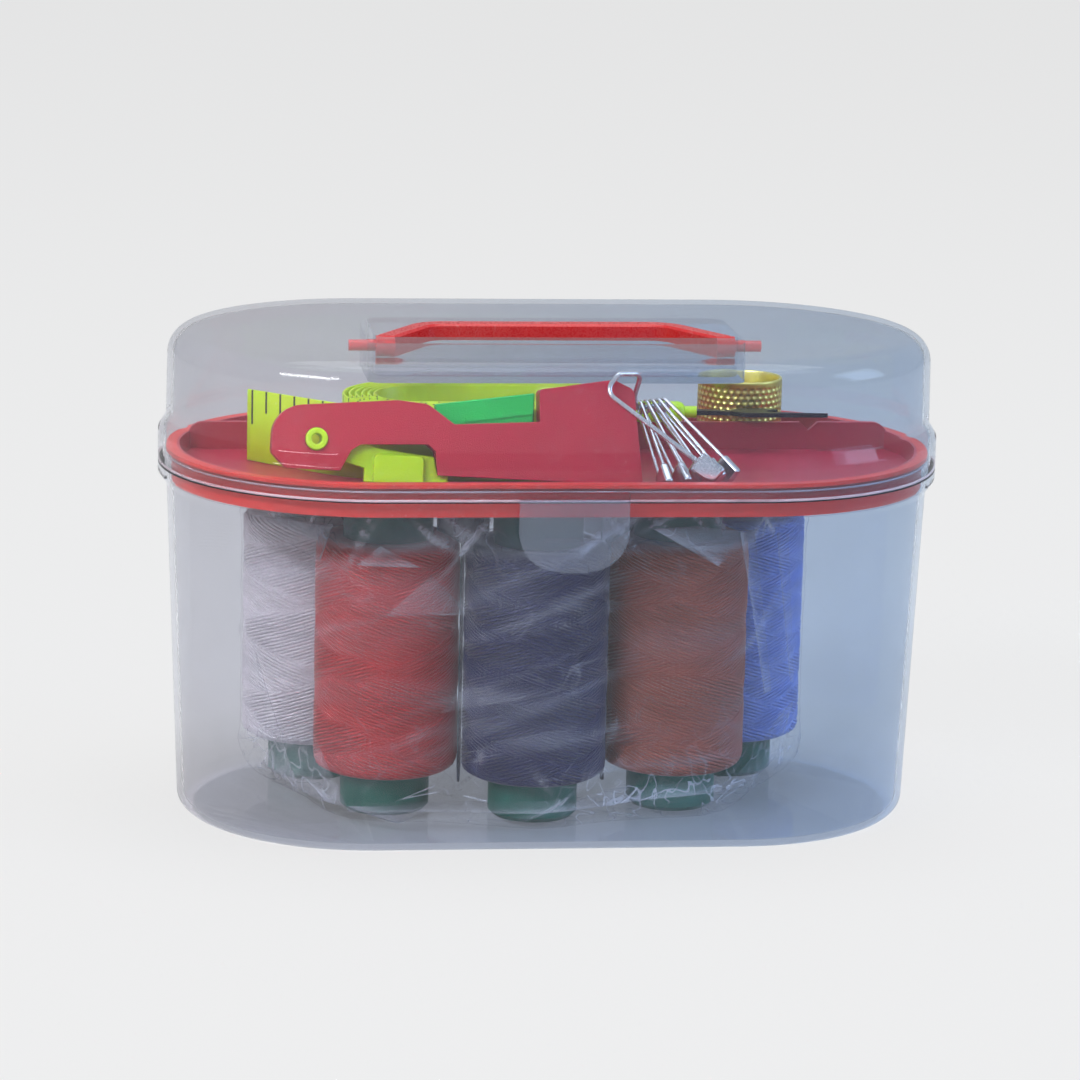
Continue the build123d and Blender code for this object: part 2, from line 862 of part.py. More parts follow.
def big_pin_route():
    """The open safety pin's wire, from its cap over the threader's head and through the rings."""
    frames = small_pin_frames()
    before = frames[0].origin
    beyond = frames[-1].origin
    floor = Vector(0, 0, tray_floor_top)
    step = (beyond - before).normalized() * small_pin_spacing
    return [
        Vector(*big_pin_end) + floor,
        Vector(*big_pin_over_head) + floor,
        Vector(*big_pin_loop_left, lid_underside - big_pin_left_room),
        Vector(*big_pin_loop_right, lid_underside - big_pin_right_room),
        Vector(*big_pin_loop_foot) + floor,
        before - step * 0.7,
        beyond + step,
    ]


def make_big_pin_wire():
    """The open safety pin's bent wire."""
    return wire(big_pin_route(), big_pin_bends, big_wire_radius)


def make_big_pin_cap():
    """The open safety pin's cap."""
    end, before = big_pin_route()[:2]
    out = end - before
    frame = Plane(origin=end, x_dir=out, z_dir=out.cross(Vector(0, 0, 1)))
    return cap(big_cap_length, big_cap_width, big_cap_thickness, frame, wire_end_gap)


def all_parts():
    """Every piece of the kit by name."""
    parts = {
        "box_body": make_box_body(),
        "lid": make_lid(),
        "latch_flap": make_latch(),
        "carry_handle": make_handle(),
        "tray": make_tray(),
        "film_bag": make_bag(),
        "tape_measure": make_tape(),
        "thimble": make_thimble(),
        "threader_body": make_threader_body(),
        "threader_lever": make_threader_lever(),
        "threader_guide": make_threader_guide(),
        "seam_ripper_handle": make_ripper_handle(),
        "seam_ripper_blade": make_ripper_blade(),
        "small_pin_wires": make_small_pin_wires(),
        "small_pin_caps": make_small_pin_caps(),
        "big_pin_wire": make_big_pin_wire(),
        "big_pin_cap": make_big_pin_cap(),
    }
    for colour, (x, y) in zip(spool_colours, spool_places()):
        parts[f"{colour}_thread"] = make_thread(x, y)
        parts[f"{colour}_spool_core"] = make_core(x, y)
    return parts


os.makedirs("parts", exist_ok=True)
for name, shape in all_parts().items():
    export_step(shape, f"parts/{name}.step")
print(f"least gap between the tape's turns: {tape_least_gap():.2f} mm")
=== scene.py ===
# %% [markdown]
# # A mini sewing kit box
# A clear box with a hinged lid holds five spools of thread in a film bag, and over them a red
# tray of small sewing things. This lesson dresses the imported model: each step says what a piece
# is on the real object, how it could be made, and why it is made the way it is here.

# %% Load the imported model
import math
import random

import bmesh
import bpy
import numpy as np
from mathutils import Matrix, Vector


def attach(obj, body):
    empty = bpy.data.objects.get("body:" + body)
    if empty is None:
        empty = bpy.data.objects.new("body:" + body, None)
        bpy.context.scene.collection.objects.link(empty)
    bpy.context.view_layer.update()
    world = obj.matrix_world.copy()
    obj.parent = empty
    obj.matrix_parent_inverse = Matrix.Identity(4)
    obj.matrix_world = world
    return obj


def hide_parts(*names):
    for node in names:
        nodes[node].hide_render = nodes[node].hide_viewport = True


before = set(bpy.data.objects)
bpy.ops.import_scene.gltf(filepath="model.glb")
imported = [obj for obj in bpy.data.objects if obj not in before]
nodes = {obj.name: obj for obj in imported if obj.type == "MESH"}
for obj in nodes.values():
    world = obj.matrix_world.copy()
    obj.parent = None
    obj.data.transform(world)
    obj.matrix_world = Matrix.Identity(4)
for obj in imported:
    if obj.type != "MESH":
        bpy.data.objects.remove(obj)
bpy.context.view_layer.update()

mm = 0.001

# %% [markdown]
# ## Small helpers
# Node trees are easier to read when one call adds a node, sets it and links it. The same call
# serves shaders and Geometry Nodes, because both kinds of tree have the same sockets.


# %% Helpers for node trees
def put(tree, kind, inputs=(), **settings):
    """Adds a node, sets its properties, and fills or links its inputs."""
    node = tree.nodes.new(kind)
    for key, value in settings.items():
        setattr(node, key, value)
    for key, value in dict(inputs).items():
        if isinstance(value, bpy.types.NodeSocket):
            tree.links.new(value, node.inputs[key])
        else:
            node.inputs[key].default_value = value
    return node


def maths(tree, operation, *values, clamp=False):
    """One Math node's result. The same kind of node exists in both sorts of tree."""
    inputs = dict(enumerate(values))
    return put(tree, "ShaderNodeMath", inputs, operation=operation, use_clamp=clamp).outputs[0]


def times(tree, first, second):
    """Two values multiplied."""
    return maths(tree, "MULTIPLY", first, second)


def highest(tree, *values):
    """The highest of several values."""
    best, *others = values
    for value in others:
        best = maths(tree, "MAXIMUM", best, value)
    return best


def spread(tree, value, low, high, to_low=0.0, to_high=1.0):
    """Maps a value from one range to another, held inside it."""
    inputs = {0: value, 1: low, 2: high, 3: to_low, 4: to_high}
    return put(tree, "ShaderNodeMapRange", inputs, interpolation_type="SMOOTHSTEP").outputs[0]


def axes(tree, vector):
    """A vector's X, Y and Z."""
    return put(tree, "ShaderNodeSeparateXYZ", {0: vector}).outputs


def new_tree(name, kind, inputs, outputs):
    """An empty node group with named inputs and outputs."""
    tree = bpy.data.node_groups.new(name, kind)
    for label, socket, value in inputs:
        made = tree.interface.new_socket(label, in_out="INPUT", socket_type="NodeSocket" + socket)
        if value is not None:
            made.default_value = value
    for label, socket in outputs:
        tree.interface.new_socket(label, in_out="OUTPUT", socket_type="NodeSocket" + socket)
    return tree, put(tree, "NodeGroupInput").outputs, put(tree, "NodeGroupOutput").inputs


# %% Helpers for patterns and colours
def rgb(red, green, blue):
    """A colour as it looks on screen, from 0 to 255, made linear for a shader."""
    def linear(value):
        value /= 255
        return value / 12.92 if value <= 0.04045 else ((value + 0.055) / 1.055) ** 2.4
    return (linear(red), linear(green), linear(blue), 1.0)


def blend_colours(tree, share, first, second, mode="MIX"):
    """Mixes two colours by a share."""
    inputs = {0: share, 6: first, 7: second}
    return put(tree, "ShaderNodeMix", inputs, data_type="RGBA", blend_type=mode).outputs[2]


def own_place(tree):
    """Where a point lies in the piece's own coordinates."""
    return put(tree, "ShaderNodeTexCoord").outputs["Object"]


def stretched(tree, place, scale, rotation=(0.0, 0.0, 0.0)):
    """A place turned and scaled, so that a pattern laid on it comes out long one way."""
    inputs = {"Vector": place, "Rotation": rotation, "Scale": scale}
    return put(tree, "ShaderNodeMapping", inputs).outputs[0]


def noise(tree, place, scale, detail=2.0, distortion=0.0):
    """Soft random patches: a value about 0.5 that changes from place to place."""
    inputs = {"Vector": place, "Scale": scale, "Detail": detail, "Distortion": distortion}
    return put(tree, "ShaderNodeTexNoise", inputs).outputs[0]


def contour(tree, pattern, painted_floor_shade, outer):
    """Thin lines where a pattern crosses 0.5: 1 on the line, 0 from the outer distance on."""
    gap = maths(tree, "ABSOLUTE", maths(tree, "SUBTRACT", pattern, 0.5))
    return spread(tree, gap, painted_floor_shade, outer, 1.0, 0.0)


def kept_value(tree, name):
    """A value that the mesh keeps for each of its points."""
    settings = {"attribute_name": name, "attribute_type": "GEOMETRY"}
    return put(tree, "ShaderNodeAttribute", **settings).outputs["Fac"]


def relief(tree, height, depth, strength=1.0):
    """A normal that follows a height, with its depth in millimetres."""
    inputs = {"Height": height, "Distance": depth * mm, "Strength": strength}
    return put(tree, "ShaderNodeBump", inputs).outputs[0]


# %% Helpers for materials
def new_material(name):
    """A material with an empty tree."""
    material = bpy.data.materials.new(name)
    material.use_nodes = True
    material.node_tree.nodes.clear()
    return material, material.node_tree


def use_group(tree, group, **values):
    """Places a shader group in a material with its own values; _ in a name stands for a space."""
    node = put(tree, "ShaderNodeGroup", node_tree=group)
    for key, value in values.items():
        node.inputs[key.replace("_", " ")].default_value = value
    return node.outputs


def principled(tree, **sockets):
    """A Principled shader; _ in a socket's name stands for a space."""
    inputs = {key.replace("_", " "): value for key, value in sockets.items()}
    return put(tree, "ShaderNodeBsdfPrincipled", inputs).outputs[0]


def mix_shaders(tree, share, first, second):
    """Mixes two shaders by a share."""
    return put(tree, "ShaderNodeMixShader", {0: share, 1: first, 2: second}).outputs[0]


def ended(material, shader):
    """Ends a material's tree in a shader."""
    put(material.node_tree, "ShaderNodeOutputMaterial", {0: shader})
    return material


# %% Helpers for meshes
whole_turn = 2 * math.pi
same_place = 0.002
flat_angle = 0.3
sharp_angle = 35


def add_object(name, data):
    """Links a mesh, a lamp or a camera to the scene as an object at the origin."""
    obj = bpy.data.objects.new(name, data)
    bpy.context.scene.collection.objects.link(obj)
    return obj


def freeze(obj):
    """Turns an object and its modifiers into a plain mesh."""
    shapes = bpy.context.evaluated_depsgraph_get()
    mesh = bpy.data.meshes.new_from_object(obj.evaluated_get(shapes))
    obj.modifiers.clear()
    obj.data = mesh
    return obj


def merge_doubles(work):
    """Merges points that lie on each other."""
    bmesh.ops.remove_doubles(work, verts=work.verts, dist=same_place * mm)


def drop_flat_edges(work):
    """Drops the edges between triangles that lie in one plane."""
    angle = math.radians(flat_angle)
    bmesh.ops.dissolve_limit(work, angle_limit=angle, verts=work.verts, edges=work.edges)


def turn_outwards(work):
    """Points every face outwards."""
    bmesh.ops.recalc_face_normals(work, faces=work.faces)


def reworked(mesh, *steps):
    """Runs the steps above on a mesh."""
    work = bmesh.new()
    work.from_mesh(mesh)
    for step in steps:
        step(work)
    work.to_mesh(mesh)
    work.free()


def mesh_from(name, points, faces, smooth=True):
    """A mesh object from points in millimetres, with its normals turned outwards."""
    mesh = bpy.data.meshes.new(name)
    mesh.from_pydata([tuple(c * mm for c in p) for p in points], [], faces)
    reworked(mesh, turn_outwards)
    mesh.shade_smooth() if smooth else mesh.shade_flat()
    return add_object(name, mesh)


def circle(middle, radius, height, count):
    """Points round a circle that lies flat at a height."""
    angles = (whole_turn * number / count for number in range(count))
    return [(middle[0] + radius * math.cos(angle), middle[1] + radius * math.sin(angle), height)
            for angle in angles]


def grid_faces(rows, columns, closed=False, joined=False, first=0):
    """Four-cornered faces for points laid out row after row, from a first number on. Closed
    grids go round the columns, and in joined ones the last row meets the first."""
    faces = []
    for r in range(rows if joined else rows - 1):
        low, high = first + r * columns, first + (r + 1) % rows * columns
        for c in range(columns if closed else columns - 1):
            following = (c + 1) % columns
            faces.append((low + c, low + following, high + following, high + c))
    return faces


def keep_values(piece, name, values):
    """Keeps a value for each point of a piece, for its finish to read."""
    layer = piece.data.attributes.new(name, "FLOAT", "POINT")
    layer.data.foreach_set("value", values)


def settle(piece, body, slot, material, *stands_for):
    """Gives a piece its material and lets it ride on its body in place of CAD nodes. The slot is not
    used.
    """
    piece.data.materials.clear()
    piece.data.materials.append(material)
    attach(piece, body)
    if stands_for:
        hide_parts(*stands_for)
    print(piece.name, "faces:", len(piece.data.polygons))
    return piece


def softened(node, name, width, segments=3):
    """A copy of a CAD node's mesh, its doubles merged and its sharp edges rounded."""
    mesh = nodes[node].data.copy()
    if "custom_normal" in mesh.attributes:
        mesh.attributes.remove(mesh.attributes["custom_normal"])
    reworked(mesh, merge_doubles, drop_flat_edges)
    mesh.shade_smooth()
    obj = add_object(name, mesh)
    bevel = obj.modifiers.new("rounding", "BEVEL")
    bevel.width = width * mm
    bevel.segments = segments
    bevel.limit_method = "ANGLE"
    bevel.angle_limit = math.radians(sharp_angle)
    weights = obj.modifiers.new("weights", "WEIGHTED_NORMAL")
    weights.keep_sharp = False
    return freeze(obj)


# %% [markdown]
# ## The camera
# The photograph was taken with a long lens from a little above. The camera stands where the
# box's rim, foot and well line up with the picture, so every later comparison is fair.

# %% Camera
camera_place = Vector((-94.889, -758.370, 217.104)) * mm
camera_azimuth = math.radians(-7.045)
camera_elevation = math.radians(12.426)
camera_roll = math.radians(1.38)
lens = bpy.data.cameras.new("camera")
lens.lens = 144.48
lens.sensor_width = 36.0
camera = add_object("camera", lens)
across = Vector((math.cos(camera_azimuth), math.sin(camera_azimuth), 0))
back = Vector((
    math.sin(camera_azimuth) * math.cos(camera_elevation),
    -math.cos(camera_azimuth) * math.cos(camera_elevation),
    math.sin(camera_elevation),
))
upward = back.cross(across)
side_axis = across * math.cos(camera_roll) + upward * math.sin(camera_roll)
top_axis = upward * math.cos(camera_roll) - across * math.sin(camera_roll)
turned = Matrix((side_axis, top_axis, back)).transposed().to_4x4()
camera.matrix_world = Matrix.Translation(camera_place) @ turned
bpy.context.scene.camera = camera

# %% [markdown]
# ## Floor, world and lamps
# The picture's ground is one even pale grey. The floor shows that grey to the camera and to
# glass and metal, and is plain paint to all other light, so it keeps a soft shadow.

# %% Floor and world
ground_grey = rgb(237, 237, 237)
fill_light = (0.93, 0.96, 1.0, 1.0)
fill_strength = 0.42
floor_half = 3000
floor_shares = (0.85, 0.12, 0.12)
world_shares = (1.0, 0.8, 0.0)


def seen_share(tree, camera_share, glass_share, mirror_share):
    """How much of the flat grey a ray sees: from the camera, through clear plastic or in a mirror."""
    path = put(tree, "ShaderNodeLightPath").outputs
    seen = times(tree, path["Is Camera Ray"], camera_share)
    through = times(tree, path["Is Transmission Ray"], glass_share)
    mirrored = times(tree, path["Is Glossy Ray"], mirror_share)
    return highest(tree, seen, highest(tree, through, mirrored))


floor_paint, tree = new_material("floor_paint")
paint = put(tree, "ShaderNodeBsdfDiffuse", {"Color": ground_grey}).outputs[0]
shown = put(tree, "ShaderNodeEmission", {"Color": ground_grey, "Strength": 1.0}).outputs[0]
ended(floor_paint, mix_shaders(tree, seen_share(tree, *floor_shares), paint, shown))

floor = mesh_from("floor", [
    (-floor_half, -floor_half, 0), (floor_half, -floor_half, 0),
    (floor_half, floor_half, 0), (-floor_half, floor_half, 0),
], [(0, 1, 2, 3)], smooth=False)
floor.data.materials.append(floor_paint)

world = bpy.data.worlds.new("studio")
bpy.context.scene.world = world
world.use_nodes = True
tree = world.node_tree
tree.nodes.clear()
fill = put(tree, "ShaderNodeBackground", {"Color": fill_light, "Strength": fill_strength}).outputs[0]
shown = put(tree, "ShaderNodeBackground", {"Color": ground_grey, "Strength": 1.0}).outputs[0]
mixed = mix_shaders(tree, seen_share(tree, *world_shares), fill, shown)
put(tree, "ShaderNodeOutputWorld", {0: mixed})
bpy.context.scene.view_settings.view_transform = "Standard"

# %% [markdown]
# A long lamp on the left stands for a window, one overhead for the ceiling, and a cool one on
# the right tints that side. Clear plastic needs bright streaks along its rounded edges, which
# would wash out the thread if the window were simply brighter. So a second lamp in the
# window's place shows in gloss only and lights no matt surface.

# %% Lamps
lamp_aim = Vector((0, 0, 45)) * mm
window_place = (-640, -700, 640)


def add_lamp(name, place, size, power, colour):
    """A soft rectangular lamp that looks at the middle of the box."""
    lamp = bpy.data.lights.new(name, "AREA")
    lamp.shape = "RECTANGLE"
    lamp.size, lamp.size_y = (side * mm for side in size)
    lamp.energy = power
    lamp.color = colour
    obj = add_object(name, lamp)
    obj.location = Vector(place) * mm
    obj.rotation_euler = (lamp_aim - obj.location).to_track_quat("-Z", "Y").to_euler()
    return obj


add_lamp("window_left", window_place, (640, 70), 4.6, (1.0, 0.99, 0.97))
gloss = add_lamp("window_gloss", window_place, (640, 170), 5.0, (1.0, 1.0, 1.0))
gloss.visible_diffuse = False
add_lamp("ceiling", (60, 60, 1100), (900, 700), 5.4, (1.0, 1.0, 1.0))
add_lamp("cool_right", (820, -200, 420), (400, 500), 2.6, (0.55, 0.72, 1.0))

# %% [markdown]
# ## Effects that several finishes share
# Moulded plastic is never one even colour: it has slow clouds from the flow of the melt, a fine
# grain from the mould, and specks of dust. A group puts out these as colour, roughness and
# height, and each material places the group with its own values. Hairline scratches are a
# second group, because clear walls, steel and brass all have them at different sizes.

# %% Moulded surface
per_metre = 1 / mm
dust_scale = 900.0
dust_dot = (0.07, 0.16)
dusty_patches = (0.5, 0.62)
dust_colour = (0.85, 0.85, 0.88, 1.0)
moulded, given, result = new_tree(
    "moulded_surface", "ShaderNodeTree",
    [
        ("Colour", "Color", (0.5, 0.5, 0.5, 1.0)),
        ("Clouding", "Float", 0.06),
        ("Roughness", "Float", 0.35),
        ("Cloud Size", "Float", 8.0),
        ("Grain Size", "Float", 0.25),
        ("Dust", "Float", 0.15),
    ],
    [("Colour", "Color"), ("Roughness", "Float"), ("Height", "Float")],
)
place = own_place(moulded)
clouds = noise(moulded, place, maths(moulded, "DIVIDE", per_metre, given["Cloud Size"]), 3.0)
grain = noise(moulded, place, maths(moulded, "DIVIDE", per_metre, given["Grain Size"]))
specks = put(moulded, "ShaderNodeTexVoronoi", {"Vector": place, "Scale": dust_scale, "Randomness": 1.0})
offset = maths(moulded, "SUBTRACT", clouds, 0.5)
level = maths(moulded, "MULTIPLY_ADD", offset, times(moulded, given["Clouding"], 4.0), 1.0)
tinted = put(moulded, "ShaderNodeVectorMath", {0: given["Colour"], "Scale": level}, operation="SCALE")
dot = spread(moulded, specks.outputs["Distance"], *dust_dot, 1.0, 0.0)
rare = spread(moulded, clouds, *dusty_patches)
dusty = times(moulded, times(moulded, dot, rare), given["Dust"])
colour = blend_colours(moulded, dusty, tinted.outputs[0], dust_colour)
rough = maths(moulded, "MULTIPLY_ADD", grain, 0.12, given["Roughness"])
rough = maths(moulded, "ADD", rough, maths(moulded, "MULTIPLY_ADD", dusty, 0.4, -0.06))
moulded.links.new(colour, result["Colour"])
moulded.links.new(rough, result["Roughness"])
moulded.links.new(maths(moulded, "MULTIPLY_ADD", clouds, 0.6, grain), result["Height"])

# %% Hairline scratches
scratch_turns = ((0.3, 0.5, 0.2), (1.1, -0.4, 0.9), (-0.7, 0.2, 2.0))
scratch_shape = (1.0, 0.04, 1.0)
scratch_line = (0.002, 0.008)
worn_scale = 60.0
worn_patches = (0.42, 0.62)
scratches, given, result = new_tree(
    "hairline_scratches", "ShaderNodeTree",
    [("Spacing", "Float", 3.0), ("Amount", "Float", 0.5)],
    [("Mask", "Float")],
)
place = own_place(scratches)
fine = maths(scratches, "DIVIDE", per_metre, given["Spacing"])
lines = []
for turn in scratch_turns:
    long_way = stretched(scratches, place, scratch_shape, turn)
    lines.append(contour(scratches, noise(scratches, long_way, fine, 1.0), *scratch_line))
worn = spread(scratches, noise(scratches, place, worn_scale), *worn_patches)
mask = times(scratches, times(scratches, highest(scratches, *lines), worn), given["Amount"])
scratches.links.new(mask, result["Mask"])

# %% [markdown]
# ## Solid plastics
# The handle, tray, threader, its lever and guide, the ripper's handle and the spools' tubes are
# all injection moulded. One function makes their materials, with each one's colour, gloss and
# grain, and a little light under the surface, because thin coloured plastic glows at its edges.
# The tray's floor lies in the shade of its rim, and that shade is painted on as a deeper red
# than the flange. The finish finds it by the box's outline, which is two half circles joined
# by straights.

# %% Solid plastics
half_straight = 32.6
flange_start = 34.3
flange_fade = 0.5
scuff_colour = (0.9, 0.85, 0.85, 1.0)


def inside_tray(tree):
    """Where the painted shade lies: high on the tray's floor and divider, 0 on its flange and skirt,
    from the oval they lie in.
    """
    parts = axes(tree, own_place(tree))
    beyond = maths(tree, "SUBTRACT", maths(tree, "ABSOLUTE", parts["X"]), half_straight * mm)
    beyond = highest(tree, beyond, 0.0)
    squares = maths(tree, "ADD", times(tree, beyond, beyond), times(tree, parts["Y"], parts["Y"]))
    start = flange_start * mm
    return spread(tree, maths(tree, "SQRT", squares), start - flange_fade * mm, start, 0.8, 0.0)


def solid_plastic(name, colour, roughness, clouding=0.05, grain=0.3, bump=0.05, glow=0.15,
                  painted_floor_shade=None):
    """A coloured moulded plastic, with a painted shade colour for the inside of the tray."""
    material, tree = new_material(name)
    surface = use_group(tree, moulded, Colour=colour, Roughness=roughness, Clouding=clouding,
                        Grain_Size=grain, Dust=0.2)
    scuff = use_group(tree, scratches, Spacing=2.0, Amount=0.3)["Mask"]
    tone = blend_colours(tree, times(tree, scuff, 0.25), surface["Colour"], scuff_colour)
    # Painted shade: the tray's floor and divider take a deeper red.
    if painted_floor_shade:
        tone = blend_colours(tree, inside_tray(tree), tone, painted_floor_shade)
    return ended(material, principled(
        tree, Base_Color=tone, IOR=1.49, Normal=relief(tree, surface["Height"], bump),
        Roughness=maths(tree, "MULTIPLY_ADD", scuff, 0.3, surface["Roughness"]),
        Subsurface_Weight=glow, Subsurface_Scale=1.5 * mm, Subsurface_Radius=(1.0, 0.5, 0.4),
    ))


handle_red = solid_plastic("handle_red", rgb(214, 44, 48), 0.28, bump=0.02, glow=0.25)
# The second red is the painted shade of the rim on the tray's floor.
tray_red = solid_plastic("tray_red", rgb(206, 46, 42), 0.4, clouding=0.09, bump=0.04,
                         painted_floor_shade=rgb(146, 28, 60))
crimson = solid_plastic("threader_crimson", rgb(180, 12, 50), 0.38, grain=0.2)
yellow_green = solid_plastic("yellow_green_plastic", rgb(184, 226, 10), 0.34, glow=0.3)
guide_green = solid_plastic("green_plastic", rgb(0, 178, 76), 0.36)
core_green = solid_plastic("core_green", rgb(14, 96, 82), 0.42, clouding=0.12)

# %% [markdown]
# ## Clear plastic
# The box and lid are polypropylene or styrene about a millimetre thick: clear, with a faint
# milkiness. A wall set up as real glass catches light inside it and shows black lines along
# the shoulder and the seam, which the real box doesn't have. So the wall hardly bends light,
# and a glossy skin over it carries the reflections. The cool lamp's blue cast on the right is
# painted into the wall's tint, which goes from neutral on the left to bluish on the right.
# Lamps shine straight through, so the things inside are lit.

# %% Clear plastic
tint_reach = 65
# Painted light: the cool lamp's bluish cast on the box's right side.
painted_cool_light_tint = (0.82, 0.915, 1.0, 1.0)
shadow_tint = (0.89, 0.91, 0.95, 1.0)


def clear_moulding(name, colour, transmission):
    """Clear moulded plastic: a tinted wall that hardly bends light, under a glossy skin."""
    material, tree = new_material(name)
    surface = use_group(tree, moulded, Colour=colour, Roughness=0.03, Clouding=0.02,
                        Cloud_Size=14.0, Grain_Size=0.6, Dust=0.25)
    scuff = use_group(tree, scratches, Spacing=5.0, Amount=0.6)["Mask"]
    # Painted light: the bluish cast grows from left to right.
    cool_light_share = spread(tree, axes(tree, own_place(tree))["X"], -tint_reach * mm, tint_reach * mm)
    wall = principled(
        tree, IOR=1.01, Transmission_Weight=transmission,
        Base_Color=blend_colours(tree, cool_light_share, surface["Colour"], painted_cool_light_tint, mode="MULTIPLY"),
        Roughness=maths(tree, "MULTIPLY_ADD", scuff, 0.15, surface["Roughness"]),
        Normal=relief(tree, surface["Height"], 0.01),
        Coat_Weight=0.48, Coat_Roughness=0.04, Coat_IOR=1.5,
    )
    see_through = put(tree, "ShaderNodeBsdfTransparent", {"Color": shadow_tint}).outputs[0]
    shadow = put(tree, "ShaderNodeLightPath").outputs["Is Shadow Ray"]
    return ended(material, mix_shaders(tree, shadow, wall, see_through))


clear_plastic = clear_moulding("clear_plastic", rgb(230, 230, 234), 0.99)
latch_plastic = clear_moulding("latch_plastic", rgb(224, 226, 236), 0.93)

# %% [markdown]
# ## Painted highlights along the seam
# Light runs inside a clear wall and comes out at its cut edges, so the lid's lower edge and the
# top of the box's neck show as two pale lines. Each line is painted as a highlight: a slim pale
# ring just inside the wall.

# %% Painted highlight rings in the lid's edge and the neck
flow_scale = 55.0
round_section = 10
half_circle_steps = 48
# A pale finish for the painted highlight lines, see-through in slow patches.
painted_edge_highlight, tree = new_material("painted_edge_highlight")
surface = use_group(tree, moulded, Colour=rgb(230, 212, 222), Roughness=0.3, Clouding=0.05,
                    Cloud_Size=9.0, Grain_Size=0.5, Dust=0.1)
flow = noise(tree, own_place(tree), flow_scale)
ended(painted_edge_highlight, principled(
    tree, Base_Color=surface["Colour"], Roughness=surface["Roughness"],
    Normal=relief(tree, surface["Height"], 0.02), Alpha=spread(tree, flow, 0.3, 0.7, 0.2, 0.5),
))


def edge_ring(name, body, radius, height, thickness):
    """A slim ring that follows the box's outline: two half circles joined by straights."""
    points = []
    for side in (1, -1):
        for number in range(half_circle_steps + 1):
            angle = whole_turn / 4 * -side + math.pi * number / half_circle_steps
            way = Vector((math.cos(angle), math.sin(angle)))
            for n in range(round_section):
                turn = whole_turn * n / round_section
                out = radius + thickness * math.cos(turn)
                points.append((side * half_straight + way.x * out, way.y * out,
                               height + thickness * math.sin(turn)))
    faces = grid_faces(len(points) // round_section, round_section, closed=True, joined=True)
    settle(mesh_from(name, points, faces), body, "clear_plastic", painted_edge_highlight)


# Two painted highlight lines, at the lid's lower edge and the top of the box's neck.
edge_ring("lid_painted_highlight_line", "lid", radius=37.0, height=63.78, thickness=0.24)
edge_ring("neck_painted_highlight_line", "box", radius=35.8, height=65.1, thickness=0.18)

# %% [markdown]
# ## Metals
# The thimble is stamped brass and the pins are bright plated wire. The ripper's blade is blued
# steel. Scratches change only the roughness, and slow clouds dull the plating in places.


# %% Metals
def metal(name, colour, roughness, tone_off_highlights=None):
    """A metal with clouded plating and hairline scratches. Given a second tone, that tone is its plain
    colour, and the first colour is a painted highlight where the mesh keeps one.
    """
    material, tree = new_material(name)
    surface = use_group(tree, moulded, Colour=colour, Roughness=roughness, Clouding=0.06,
                        Cloud_Size=3.0, Grain_Size=0.15, Dust=0.0)
    scuff = use_group(tree, scratches, Spacing=0.8, Amount=0.7)["Mask"]
    tone = surface["Colour"]
    if tone_off_highlights:
        # Painted highlight: the first colour shows only where the mesh keeps a highlight.
        pit_highlight = spread(tree, kept_value(tree, "pit_highlight"), 0.05, 0.6)
        tone = blend_colours(tree, pit_highlight, tone_off_highlights, tone)
    return ended(material, principled(
        tree, Base_Color=tone, Metallic=1.0, Normal=relief(tree, surface["Height"], 0.01),
        Roughness=maths(tree, "MULTIPLY_ADD", scuff, 0.25, surface["Roughness"]),
    ))


# The bright brass is a painted highlight in the pits; the second tone is the thimble's plain brass.
brass = metal("thimble_brass", rgb(255, 240, 140), 0.32, tone_off_highlights=rgb(206, 184, 92))
pin_steel = metal("pin_steel", rgb(222, 222, 226), 0.2)
dark_steel = metal("dark_steel", rgb(58, 60, 78), 0.34)

# %% [markdown]
# ## Materials for the CAD nodes that stay
# These nodes have the right shape already, so they only get a better finish.

# %% Dress the CAD nodes
kept_nodes = {
    "box_body": clear_plastic,
    "lid": clear_plastic,
    "latch_flap": latch_plastic,
    "tray": tray_red,
    "seam_ripper_handle": yellow_green,
    "seam_ripper_blade": dark_steel,
    "small_pin_wires": pin_steel,
    "big_pin_wire": pin_steel,
}
for colour in ("white", "red", "navy", "brown", "blue"):
    kept_nodes[f"{colour}_spool_core"] = core_green
for name, material in kept_nodes.items():
    for slot in nodes[name].material_slots:
        slot.material = material
print("kept nodes:", len(kept_nodes))

# %% [markdown]
# ## Rounded mouldings
# A mould never leaves a knife edge. These nodes are copied, their triangles merged and their
# edges rounded with a bevel, so that each edge catches a thin line of light.

# %% Rounded copies of sharp pieces
rounded = (
    ("carry_handle", "handle_bail", 0.5, 3, "handle", "handle_red", handle_red),
    ("threader_body", "threader_case", 0.5, 3, "tray", "threader_crimson", crimson),
    ("threader_lever", "threader_press", 0.3, 3, "threader_lever", "yellow_green_plastic",
     yellow_green),
    ("threader_guide", "threader_plate", 0.3, 3, "tray", "green_plastic", guide_green),
    ("small_pin_caps", "small_pin_heads", 0.5, 4, "tray", "pin_steel", pin_steel),
    ("big_pin_cap", "big_pin_head", 0.6, 4, "tray", "pin_steel", pin_steel),
)
for node, name, width, segments, body, slot, material in rounded:
    settle(softened(node, name, width, segments), body, slot, material, node)

# %% [markdown]
# The guide has a ledge moulded across its face, where the needle's groove starts. It is a slim
# bar that stands a little off the leaning face.

